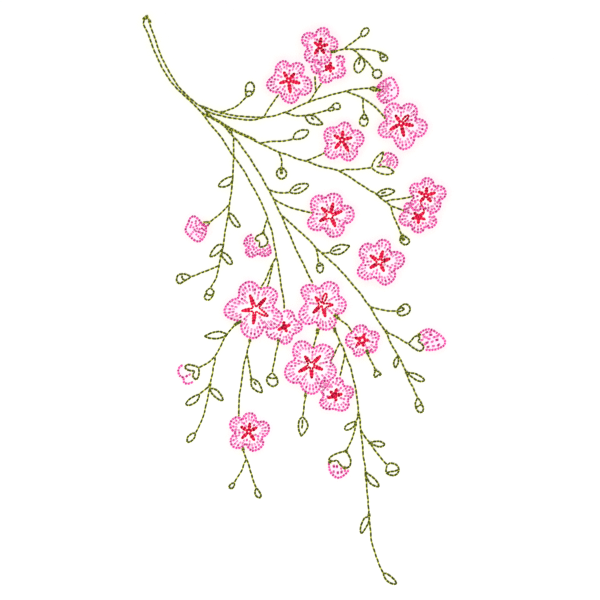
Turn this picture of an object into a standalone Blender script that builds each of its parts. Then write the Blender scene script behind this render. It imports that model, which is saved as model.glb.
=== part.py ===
"""A square of white cloth, hemmed all round, embroidered with a hanging spray of blossom in line stitch.

Metres, +Z up. The cloth lies flat with its underside at Z = 0 and its middle at the origin. +Y is the top of the
drawing, so the spray hangs towards -Y. Every separate piece of stitching is one flattened cord of thread that lies
just above the cloth.
"""
import math

import bmesh
import bpy
from mathutils import Matrix, Vector

for old in list(bpy.data.objects):
    bpy.data.objects.remove(old)

MM = 0.001
SIDE = 300 * MM             # the finished square
CLOTH = 0.5 * MM            # one layer of the cloth
HEM_WIDTH = 8 * MM          # turned twice, so three layers
HEM_HEIGHT = 1.1 * MM
CORNER = 1.2 * MM           # the folded corners are a little round
HEM_SEAM = 6.4 * MM         # the hem's seam, in from the edge
GAP = 0.1 * MM              # clear of the cloth
THREAD_R = 0.38 * MM        # half the width of a sewn line
THREAD_FLAT = 0.55          # a sewn line is lower than it is wide
STAR_THICK = 0.4 * MM
STRAIGHT = 0.5             # drawing units: how far a cord's facets may leave the drawn line

# Drawing units: u to the right and v down, 600 units across the drawing's square; one unit is UNIT mm.
# A point that ends in ! is a sharp corner. A path that starts with @ closes on itself.
UNIT = 0.44
CENTRE = 300.0

# green runs, one network for each piece of line stitching that hangs together
GREEN = {
    "spray": [
        "148.5,18.5! 147,17.2 144,19.5 143,22.9 145.2,28 147.3,32.5 149.1,37 151.2,42.7 153.3,48.4 155.4,53.2 157.5,58"
        " 160.2,63.7 162.6,69.1 165,72.7 167.7,76.9 171,82 174.6,85.9 178.2,90.4 182.4,93.7 185.7,97 189,100 193,103.7"
        " 197,107.7 200.5,111.3 204,115.5 207.5,120.5 211.5,126 215,129.7 218,133.3 221.8,138.2 226,145 229.5,150.5"
        " 232,154.5 235,158.6 237.4,161.6 240.4,165.8 243.4,170.3 247,175.7 249.4,180.8 252.1,185.3 255.1,190.4"
        " 258.1,196.4 260.5,201.2 262.9,206.6 265,211.4 267,216.2 267.2,220.3 268.6,221.6 270.1,226.4 271.9,231.2"
        " 272.8,236.6 273.7,240.8 274.4,246 275.4,250 276.3,254 276.3,257.5!",
        "276.3,257.5! 277.8,261.4 278.1,265 279,269.2 279.3,272.8 280.2,277 280.5,282.4 281.1,286.6 281.7,289.6"
        " 282.6,293.2 283.5,298 284.1,302.8 284.1,309",
        "276.3,257.5! 274.5,259.5 273.3,262.6 271.8,266.2 270.9,268.3 269.1,271.3 267,276.4 265.2,280.6 262.8,284.8"
        " 261.2,287",
        "271.8,266.2 271.5,271.6 270,276.4 269.1,281.8 267.8,285",
        "267,219.8 266,222 265.3,225.2 264.1,229.4 263.2,233",
        "@263.2,233! 259,234.8 256,236.6 254.6,238.9 256,241 259.8,241.3! 259.3,243.5 259.2,247.3! 262.8,247"
        " 265.8,245.8 268.2,243.1 267.9,240.4 265.6,236",
        "148.5,18.5! 149.3,22.9 150.7,26.2 151.5,29.8 153.3,34 155.1,38.8 156.9,43.9 158.4,49.3 160.8,55.3 162.9,60.4"
        " 166.2,66.1 168.6,71.2 171.9,76.3 174.9,81.4 178.2,86.2 182.4,91 186,94.6 190.2,98.6 194.6,102.2 199,105.5"
        " 203,107.2 206.5,108.2 210,109.3 213.3,110.9 217,112.1 221.5,112.7 226.5,114.3 232,115.5 237,116 243,116.5"
        " 250,117 256,117.5 264,117.3 270,117 275,115.8 280,114 285,112.5 290,111 295,108 300,105.8 305,103.5"
        " 308,102.3 312,101 316,99.5 322,98 328,96 334,94.3 340,92.8 346,91.3 349,90.5 354,89.5 359,89.2 364,88.7"
        " 367,88.3 369,88.6",
        "203,107.2 204.7,110 207.5,111.5 210,112.6 213,113.6 216.5,114.9 219.5,115.6 222,116.2 225,117 229.5,117.9"
        " 235,118.7 240,119.3 245,120 251,120.5 256,119.5 260,118.6 264,117.3",
        "204.7,110 207,113 209.8,114.8 213,118.8",
        "221.5,112.7 225,111.4 230,109.5 235,107.3 239,104.5 243,100.5 246.3,97",
        "@246.3,97 245.8,93 245.5,87 247,84 249.5,82 252,82.3 254,85 254.3,88.5 253.5,92 252,94.7 249.5,96.7",
        "264,117.3 268,109.5 272,104 276,98 279,94.5",
        "308,102.3 311,99 313.5,95.5 316,91 318.5,87.5 320.8,84.5",
        "316,91 315.3,84 315,79 314.9,76",
        "346,91.3 350,93.5 355,95 360,97 363,98.5 367,101.2 371,104 375,107 379,111 382,114.5 383.9,116.8",
        "363,98.5 362.7,102 363,107 363.5,111 364.3,114.3",
        "@364.3,114.2 366.5,115.2 367.3,117.2 366.3,119.2 364.4,119.9 362.4,119 361.7,117 362.6,115",
        "362.1,116 359.5,120 360,124.5 363,127 367,125.5 368.5,122 367.2,117.4",
        "@369,88.6! 371,87.2 374.5,87 376.4,88.3 377.9,90.7! 375.6,91.4 372.3,90.4",
        "285,112.5 287,113.8 291,114.8 295,115.8 300,116 305,115.5 310,115 315,113.8 319,112.6 323,111.3 327.3,110.3",
        "@305,115.6! 306.8,121 310,123.2 314,124.8 319,125 323.3,124.5! 319.5,120.5 316,117 312,115.4",
        "@327.3,110.3! 329,108 331.5,106.5 333,107.5 335,109.5! 333,110.8 329.5,111.2",
        "331.5,106.5 333,104.5 336.5,102.5 340,104 341.5,107 339.5,109.5 336,110.2 335,109.5",
        "201.5,112.4 204.2,114.4 207.3,116.6 210,117.5 213,118.8 217,121.3 219.5,122.5 222.5,124.7 225.7,126.8"
        " 228.5,127.7 231,129.5 234,131 239,133.7 244,136 249,138 253,140 258,142.5 262,144.5 267,146.5 272,149"
        " 276,151 279,152.7 284,153.5 288,155 292,156.5 297,158.8 301,160.2 306,161 311,163 316,165 321,166.7"
        " 327,168 332,169 337,170.3 340,171 343,173.5 347,175.5 351,178 355,181 360,184 365,187 370,190.6"
        " 373.2,192.2 376.7,194.1 379.1,196.5 381.7,199.1 385.5,201.8 389.2,204.2 390.8,206.2!",
        "225.7,126.8 226.5,129.3 229,132 232,135.5 234,137.5!",
        "234,137.5! 233.3,143 233.7,148 234,151 233.5,157 233.3,163 233.3,170 232.8,176 232.7,180 232,185 231.7,190"
        " 231,196 229.8,201 229.2,205 229,210 228.6,214 227,219 226.7,223.5 226,228 225,233 224,240 223.3,245"
        " 222.5,250 221.2,256 219.9,261.1 219,265.7 218.3,269.9 217.4,273.7 216.2,276.9 215,281.1 212.9,283.9"
        " 211.1,286.7 210.3,288.2",
        "234,137.5! 236.5,139.5 240,144.5 244,150.5 250,158 254.8,166.4 260.8,175.4 263.2,180.2 265.6,184.7"
        " 268.6,189.8 271,194 273.4,199 275.2,203 277.3,207.8 279.4,211.7 281.4,215.5!",
        "273.4,199 276.4,200.9 281.8,203.6 286.6,206.3 292,208.1 297.4,209.6 302.8,210.8 307.6,212.3 311,212.9",
        "231,129.5 231.6,132 232,135.5",
        "268.6,189.8 271,190.7 274.6,191.9 278.8,192.8 284.2,193.2 289.6,192.6",
        "@289.6,192.6! 291.4,189.2 293.5,186.8 296.8,184.8 300.1,184.1 304,183.5 306.7,183.7 308.8,184.4! 307.3,187.4"
        " 304,190.4 300.4,192.8 296.8,193.6 292.6,193.4",
        "281.4,215.5! 283.9,221.6 286,227 287.8,230.6 289.3,233.6 291.1,238.4 292.8,242.2 295.5,249.1 297.9,253.6"
        " 300.6,258.7 303.3,264.4 306,269.8 308.4,275.2 310.8,279.7 312.7,283.2",
        "281.4,215.5! 286.6,219.5 290.5,223.4 294.4,227 298.6,230.9 302.2,233.9 306.1,237.5 310,241.4 313.5,245.4"
        " 315.9,248.1 319.5,250.8 321.6,253 325.2,256.2 328.8,259.5 331.8,262.5 336,266.1 340.2,270.6 344.4,274.8"
        " 347.4,278.4 351,282.6 354.6,287.1 357.6,290.4 360.6,294 363,297.3 365.4,300.9 367.2,303.6 369.6,306.5"
        " 372.2,310.8 374.9,315.6 377.9,320.4 380.9,324.3 383,327.9 386,332 388.1,337.8 390.8,343.2 393.2,347.7"
        " 395.6,351.6 397.7,355.5 400.4,359.4 402.2,363.6 404,367.8 406.5,372.6 407.4,376.2 408.9,379.8 410.7,383.7"
        " 412.8,387 414,390.6 415.8,394.2 417.3,397.4",
        "315.9,248.1 317.2,253.8 318,258.6 318.6,262.9",
        "@318.6,263! 317.1,264.8 316.5,268.2 317.1,270.9 320.1,273.3 322.5,271.5 323.7,268.2 323.1,265.2 321,263.3",
        "321.6,253 325.8,252.9 330,252.6",
        "@330,252.6! 331.2,249.3 333.6,247.2 337.2,245.4 341.4,244.5 345.6,245.1 350.1,245.7! 347.4,248.7 344.7,251.4"
        " 342,253.5 338.1,254.7 334.2,254.4",
        "369.6,306.5 374,307.8 379.4,309.3 384.8,310.5 390.2,310.9 396.6,311.2",
        "@396.6,311.2! 398,309 401,306.6 403.4,304.5 406.4,303.6 408.8,305.4 410.3,309 409.7,312 407,314.4"
        " 403.4,315.9 400.4,316.2 398,314.7",
        "386,332 389.6,333.6 394.4,336 399.2,338.7 403.4,341.4 408.2,343.8",
        "@408.2,343.8! 410.6,341.4 413,338.1 416.3,335.1 418.4,336 420.2,338.1 417.5,341.7! 420.2,343.2 422.9,344.1"
        " 424.1,347.1 423.2,349.5 420.8,351.3 418.4,351.3 416,349.8 412.4,347.4",
        "@397.7,356! 395.9,358.2 394.1,360.6 393.5,363 393.8,365.7 395.5,368.4! 396.8,365.7 397.9,363.6 398.5,361.2",
        "@406.5,372.6! 409.2,372.9 412.5,372.9 416.4,374.1 420.6,376.5 423.6,378.6 425.1,380.4! 421.2,381.9"
        " 417.9,381.3 414.9,379.5 412.2,377.1 409.5,375",
        "@417.3,397.4! 418.8,399.6 420.6,401.7 421.8,404.4 423,406.8 423.6,409.5 423,411.9 420.6,413.1 418.2,411.9"
        " 416.4,409.2 415.2,405.6 415.5,402.6 416.4,399.9",
        "260,143.4 263.5,142.7 268,142 274,141.5 280,141.5 285,141 289,140 293.3,139.2",
        "@293.3,139.2! 293.8,135.5 296,132.5 299.5,130.5 304,130 308.7,130.3! 307.5,135 304,137.8 300,139.3"
        " 296.5,139.8",
        "279,152.7 280,155 281.5,159.2 282.1,162.8 281.5,167.2",
        "@281.5,167.3! 278.2,169.1 276.4,171.8 276.4,174.8 278.2,177.5 281.8,179.6 284.5,178.4 286.3,176 286.6,173.6"
        " 285.7,171.2 284.2,169.1",
        "306,161 311,159 316,157 321,155 322.8,154",
        "340,171 343,169.7 347,169.7 352,169.5 357,169.3 362,168.8 367,168.3 371.6,167.7",
        "371.6,167.7! 372.8,163.3 373.8,161 375.5,158.7 377.5,156 380,153.7 383.6,151.6! 382.9,154.5 382.2,157.5"
        " 381.3,160.4 379.5,162.7 378.2,163.7",
        "371.6,167.7! 373.5,169.6 375.7,171.6 378.6,173.1 382,174.1 386.5,174.7 391,174.4 394.4,172.4! 392,169.7"
        " 389.3,168 386.5,166.9 383.5,166.6 380,166.7 376.3,166.6",
        "@376.7,194.1! 378.3,192.2 380.7,190.9 382.8,189.5 387.6,188.7 391.3,189.5 395.3,191.1! 393.5,192.7"
        " 390.5,194.3 387.1,195.4 383.3,196.2 379.1,196.3",
        "385.5,201.8 387.6,201.2 389.7,200.5 394,199.7 398.8,199.1 403.6,198.6 407.9,197.5 411,196.8",
        "390.8,206.2! 394,206.9 399.1,209 402.6,210.2",
        "390.8,206.2! 391.3,209.3 392.9,214.6 395.1,219.4 397.2,224.2 399.1,229 401.6,235",
        "@401.6,235! 405.2,236.4 407.5,238.3 409.6,240.4 408.9,243.4 406.6,245.1 403.8,244.6 401.5,243 399.8,240.9"
        " 400.2,237.6",
        "@232.5,176.6! 229.5,177 226,178.5 222,181 219.5,184 218,186.5! 221,187.3 226,186.5 229,185 231,183.5"
        " 232.4,180.5",
        "229.2,204.6 226.5,207.5 222,212 217,216.5 213,219.5 210,222",
        "210,222 208.6,222.3 206.9,221.1 204.2,221.1 202.8,222.2",
        "210,222 209.2,223.8 208.3,225.3",
        "@228.7,212.6! 233.5,215.5 236.5,220 239.5,224 240.5,227! 237.5,227.5 234,225 231.5,221.5 229.3,216.5",
        "@223.3,245! 219,244.5 215.5,246.5 212.5,250.5 210.5,254 209.5,257! 213,256.5 217,254 220,251.5 222.5,249.5",
        "@222.1,252! 227,254.5 230,258 232,261 232.8,264! 229.5,264.5 226,261.5 223.5,258.5 221.4,256",
        "219,265.7 214,268 210,269.5 205,271.5 200,273.3 195,275.3 191,276.8",
        "@191,276.8! 187,274.8 182,274 178.5,274.8 176.5,277.5 176,280.5 178,283 180,284 183.5,281.5 187,279.5",
        "@210.3,288.2! 208,289.3 206.4,291.2 205.7,293.4 207.8,295.2 210.5,295.4 213,294.9 214.3,292.8 213.4,290.5"
        " 212,289",
        "205.7,293.4 204.5,295.5 204.1,297.5 204.5,299.5 206,300.8 208,300.3 210.5,299.2 212.5,297.3 213.7,294.6",
    ],
    "top_sprig": [
        "333.4,52.2 335.2,51.5 338,50.4 344,49.3 350,49.3 356,49.5 360,49.2 366,49.3 371,50 376,51.3 380,52.9 384,54.3"
        " 386,56",
        "@380.4,53.2 380,56.5 380.5,60 383.5,61.5 387,60.5 388,57.5 386,55.6 383,54",
        "344,49.3 347,46.5 352,43 356,40 359,37.5 361,36",
        "@361,36! 361,32.5 363.5,29.5 366.5,28 369,29! 368.5,32 366,35 363.3,36.8",
        "352.5,49.4 357,52.5 360,55 361,57",
        "@361,57! 356.5,60 354.5,64 354,69 356,72.5 358.5,73.5! 361.5,71 364,67.5 365,63.5 363.5,60",
        "361,57 366,61 370,65 372.5,68 374.2,70.6",
        "@374.2,70.6 377,69.4 380,70 381.8,72.5 381.6,75.5 380,77.5 377.6,78.9 375,78.1 373.2,76.4 372.4,74 373,71.9",
    ],
    "left_sprig": [
        "239.6,322.9 238.2,323.1 236.1,324.3 233.1,326.7 230.4,330.3 227.4,333.6 225.6,336 223.5,340.2 221.4,344.4"
        " 219.3,348.9 217.2,352.5 214.8,356.6!",
        "@226.9,334! 223.2,332.7 219.6,331.3 216,331.8 212.4,332.7 208.8,334.2 204,336.3! 208.2,337.8 212.4,338.6"
        " 217.2,338.7 221.4,338.1 224.9,336.1",
        "214.8,356.6! 212.4,359.1 208.2,362.7 204,365.1 201,366.9 198.6,368",
        "214.8,356.6! 215.3,360.5 214.2,364.2 212.9,368.4 212.7,372 211.8,376.2 210.8,380 210.5,382.2 209.9,385.5"
        " 209.5,390.4 208.4,393.4 207.8,397 207.2,401.2 206,404.8 205.1,408.4 204.5,412.6 203,416.8 201.2,421"
        " 199.4,425.8 197.6,429.4 195.5,433",
        "@195.5,433! 192.8,433 189.8,434.8 187.4,437.5 186.5,440.2 188,442.9 191,441.7 193.4,439.3 195.2,436.3",
        "209.7,385.8 207.2,387.4 204.2,390.4 200.6,393.1 199.6,394",
        "@199.6,394! 195.8,395.5 191.9,397.6 188.6,400 185.9,403 185.3,404.3! 188,405.7 191,404.8 194,403.6"
        " 196.4,401.8 198.5,398.8",
        "@209.8,388.6! 213.2,388.9 216.8,390.1 219.2,392.5 221,395.5 222.8,397.6 223.4,400.6! 221,400.6 217.7,399.4"
        " 214.7,396.7 212.3,394.3 210.5,391.3",
        "@198.6,368! 195.6,366 192,365.1 188.1,364.8 184.9,365.3 185,367.8 187.2,369.9 190.8,370.8 195,371.1!"
        " 193.8,373.2 192.6,375.3 193.5,378 195.9,380.1 197.7,378.6 198.6,376.2 198.9,372.6",
    ],
    "middle_left_stem": [
        "249.3,339.7 250.2,341.4 249.6,344.4 248.1,347.7 246.9,351 246.8,354.5!",
        "246.8,354.5! 245.4,357.6 244.8,361.8 243.3,366.6 243,371.4 242.4,375.6 241.5,379.8 241,384 240.4,389.4"
        " 239.3,394 239,398.2 239,403 238.7,407.2 238.7,412 238.7,415.2",
        "246.8,354.5! 247.8,357 248.4,361.2 249.3,366.6 250.2,372 250.8,377.4 251.6,379",
        "@251.6,379! 255.1,379.6 257,380.7 258.9,382.3 259.9,384.7 261,387.3 261.8,389.7 262.6,392.9! 259.1,392.4"
        " 255.7,390.5 253,388.7 251.1,386.3 250.9,383.1",
    ],
    "middle_stem": [
        "278.4,340.9 277.8,345.2 276.6,349.4 275.4,354.8 274.8,359.6 273.6,364.4 272.7,369.2 272.4,372.8",
        "@272.4,373! 270.6,374 268.5,375.6 266.6,377.7 266.6,380.7 267.7,383.6 269.8,385.7 272.5,386.8 275.4,386.3"
        " 277.3,384.4 278.3,382.3 277.3,379.3 275.7,376.7 274.1,374.8",
    ],
    "short_stem": [
        "319,330.4 317.6,332.2 317.1,334.6 316.2,337.4 314.7,342.8 313.6,346.2",
    ],
    "right_stem": [
        "336.5,316.3 338.5,318.3 340.4,320.2 342.8,322 346,324.4 348.4,326.4 350,328.8 351.1,330.9",
    ],
    "long_stem": [
        "334.6,330.2 336.2,333.6 338,337.2 340.1,342.4!",
        "340.1,342.4! 338.3,345.6 336.5,349.8 334.9,353.8 334.4,354.6",
        "340.1,342.4! 341.6,344.4 343.1,348 344.8,353!",
        "344.8,353! 344.3,355.8 343.7,360 342.8,364.2 341.9,369 341,372.6 340,376.2",
        "344.8,353! 346.8,358.8 348.6,363 350.4,367.2 351.6,372 352.8,377.4 354,381.6 355.2,387.6 356.1,393"
        " 357,397.8 357.3,401.4 357.9,405 358.2,410 358.5,416!",
        "358.5,416! 357.4,418 356.2,421.1 355.3,424.7 354.7,429.2 353.2,435.2 351.4,440.6 349,445.4 346.9,449.6"
        " 346,451.1",
        "@356.2,421.4! 353.2,422 350.8,422.9 347.8,424.4 345.4,426.2 344.2,428 345.1,430.4! 348.4,430.1 351.4,428.3"
        " 354.1,426.5",
        "@346,451.1! 342.4,451.7 338.8,452.9 335.8,453.8 332.2,455.6 329.5,457.7 328,459.5 330.4,461.3 334,461.3"
        " 337,460.1! 338.2,462.2 340,464.6 342.4,467 345.4,468.5 348.4,467.6 350.2,465.5 350.8,461.6 350.5,458.6"
        " 349,455.6 347.5,453.2",
        "358.5,416! 359.8,419 360.1,423.8 360.5,429.2!",
        "360.5,429.2! 362.8,433.7 365.2,437.6 367.6,440.6 370,443 372.1,446.6 375.1,450.8 378.4,454.7 381.4,458.9"
        " 385,462.8 387,465",
        "@370,442.9! 373,441.8 376.6,441.3 380.8,441.7 383.2,443 385.3,444.5! 383.2,446 380.2,446.9 376.6,446"
        " 373.6,445.1",
        "@387,465! 389.8,463.1 393.4,463.4 396.4,465.2 398.8,468.2 398.5,472.4 395.8,475.1 392.8,476 389.2,475.1"
        " 386.8,473.6 385.6,470.6 386.3,467.6",
        "360.5,429.2! 361.3,435.2 361.9,440.6 362.8,446 362.8,450.8 363.1,455.6 364,461 364.9,465.8 365.2,470.6"
        " 365.3,475.4 365.8,479.6 366.4,483.2 366.7,487.4 367,492.2 368,498 368,503.3 368.7,509.3 369,515.3"
        " 369.3,520 369.7,526 370.7,532 371,538 371.7,542.7 373,547.3 374.3,551.3 376,556 377.7,560.7 379.3,565.3"
        " 381.3,569.7 383,573",
        "@365.2,471.4! 368.2,474.2 372.4,476.9 375.7,479.9 377.8,483.2 379.3,487.1! 374.8,486.2 370.6,483.8"
        " 368.2,480.5 366,476",
        "@368.9,516.5! 365.7,517.3 363.7,519.3 361.7,523 360.7,526.7 360.3,530.7 361.3,534! 363.7,531 366,527.3"
        " 367.9,524 369,520",
        "@383,572.9! 384.7,572.7 388.3,575 392.7,578 395.3,580.7 397,583.7! 394.3,584.3 391.7,584 387,581 385,578.3",
    ],
    "bud_stem": [
        "367.2,353.2 367.6,354.9 369.8,358.2 372.2,363 374,367.2 375.6,370.6",
        "@375.6,370.6! 378.3,371.1 380.4,373.2 381.3,375 379.8,376.3 377.7,374.7! 377.3,377 374.8,377.8 373.9,376.2"
        " 374.4,373",
    ],
    "leaf_stem": [
        "305.8,393.9 305.6,396.4 305.3,399.3 304.7,402.5 303.9,405.2 304.2,408.4 303.4,412.1 302.6,416.5",
        "@302.6,416.7! 300.5,418.5 298.9,420.9 298.3,423.9 298.3,427.3 299.1,431.3 300.2,434 301,436.7! 303.1,434.3"
        " 306.3,430.3 307.9,427.1 307.7,423.9 306.3,421.2 304.7,418.8",
    ],
    "forked_stem": [
        "242.7,448.6 243.1,450 244,452.7 245.3,456 246.3,459.2!",
        "246.3,459.2! 244.3,463.5 242.7,468.7 241,472 238.7,475.7 236.3,479.3 234.3,482.7",
        "@234.3,482.7! 232.3,483 230,484.7 228.7,487.3 229.7,489 232,489 234,487",
        "246.3,459.2! 248.3,464 249.3,468 251,473 252.3,476.7 253,480.7 254.7,484.7 256.1,488",
        "@256.1,488! 258.7,491 261,494 261.7,496.3 259.3,498 256.7,497 255,494.3 255,490.7",
    ],
}

# short marks inside the leaves and buds: midribs and cups
GREEN_MARKS = [
    "246.2,92.5 249,91.2 252.9,92.5", "311,117.5 314,120", "293.5,190.7 298,189 301,187.4", "317.5,266.2 321.5,265.8",
    "332.4,251.4 336,250.2 340.8,249", "397.7,309.6 401,307.2 404,307.5 404.6,309 402.8,310.8 400.4,311.7 397.5,311.5",
    "416,407.4 417.6,406.2 420,405.3 421.8,404.5", "281.5,167.5 281.8,173", "380.9,193.5 386,192.2",
    "401,236.7 403.8,238.5 402.9,240.4", "182,275.5 181.5,277 182.5,279 184.5,280", "381.5,57.5 385,57",
    "360.5,58.5 359,62 358.5,65", "253.8,381.7 256.2,385.2", "268,377.2 271.7,378.8 276,378.3",
    "386.8,473 389.8,471.5 392.8,471.2 395.8,471.2 398.2,470", "302.3,419.6 302.6,424.9 301.8,428.7",
]

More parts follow.
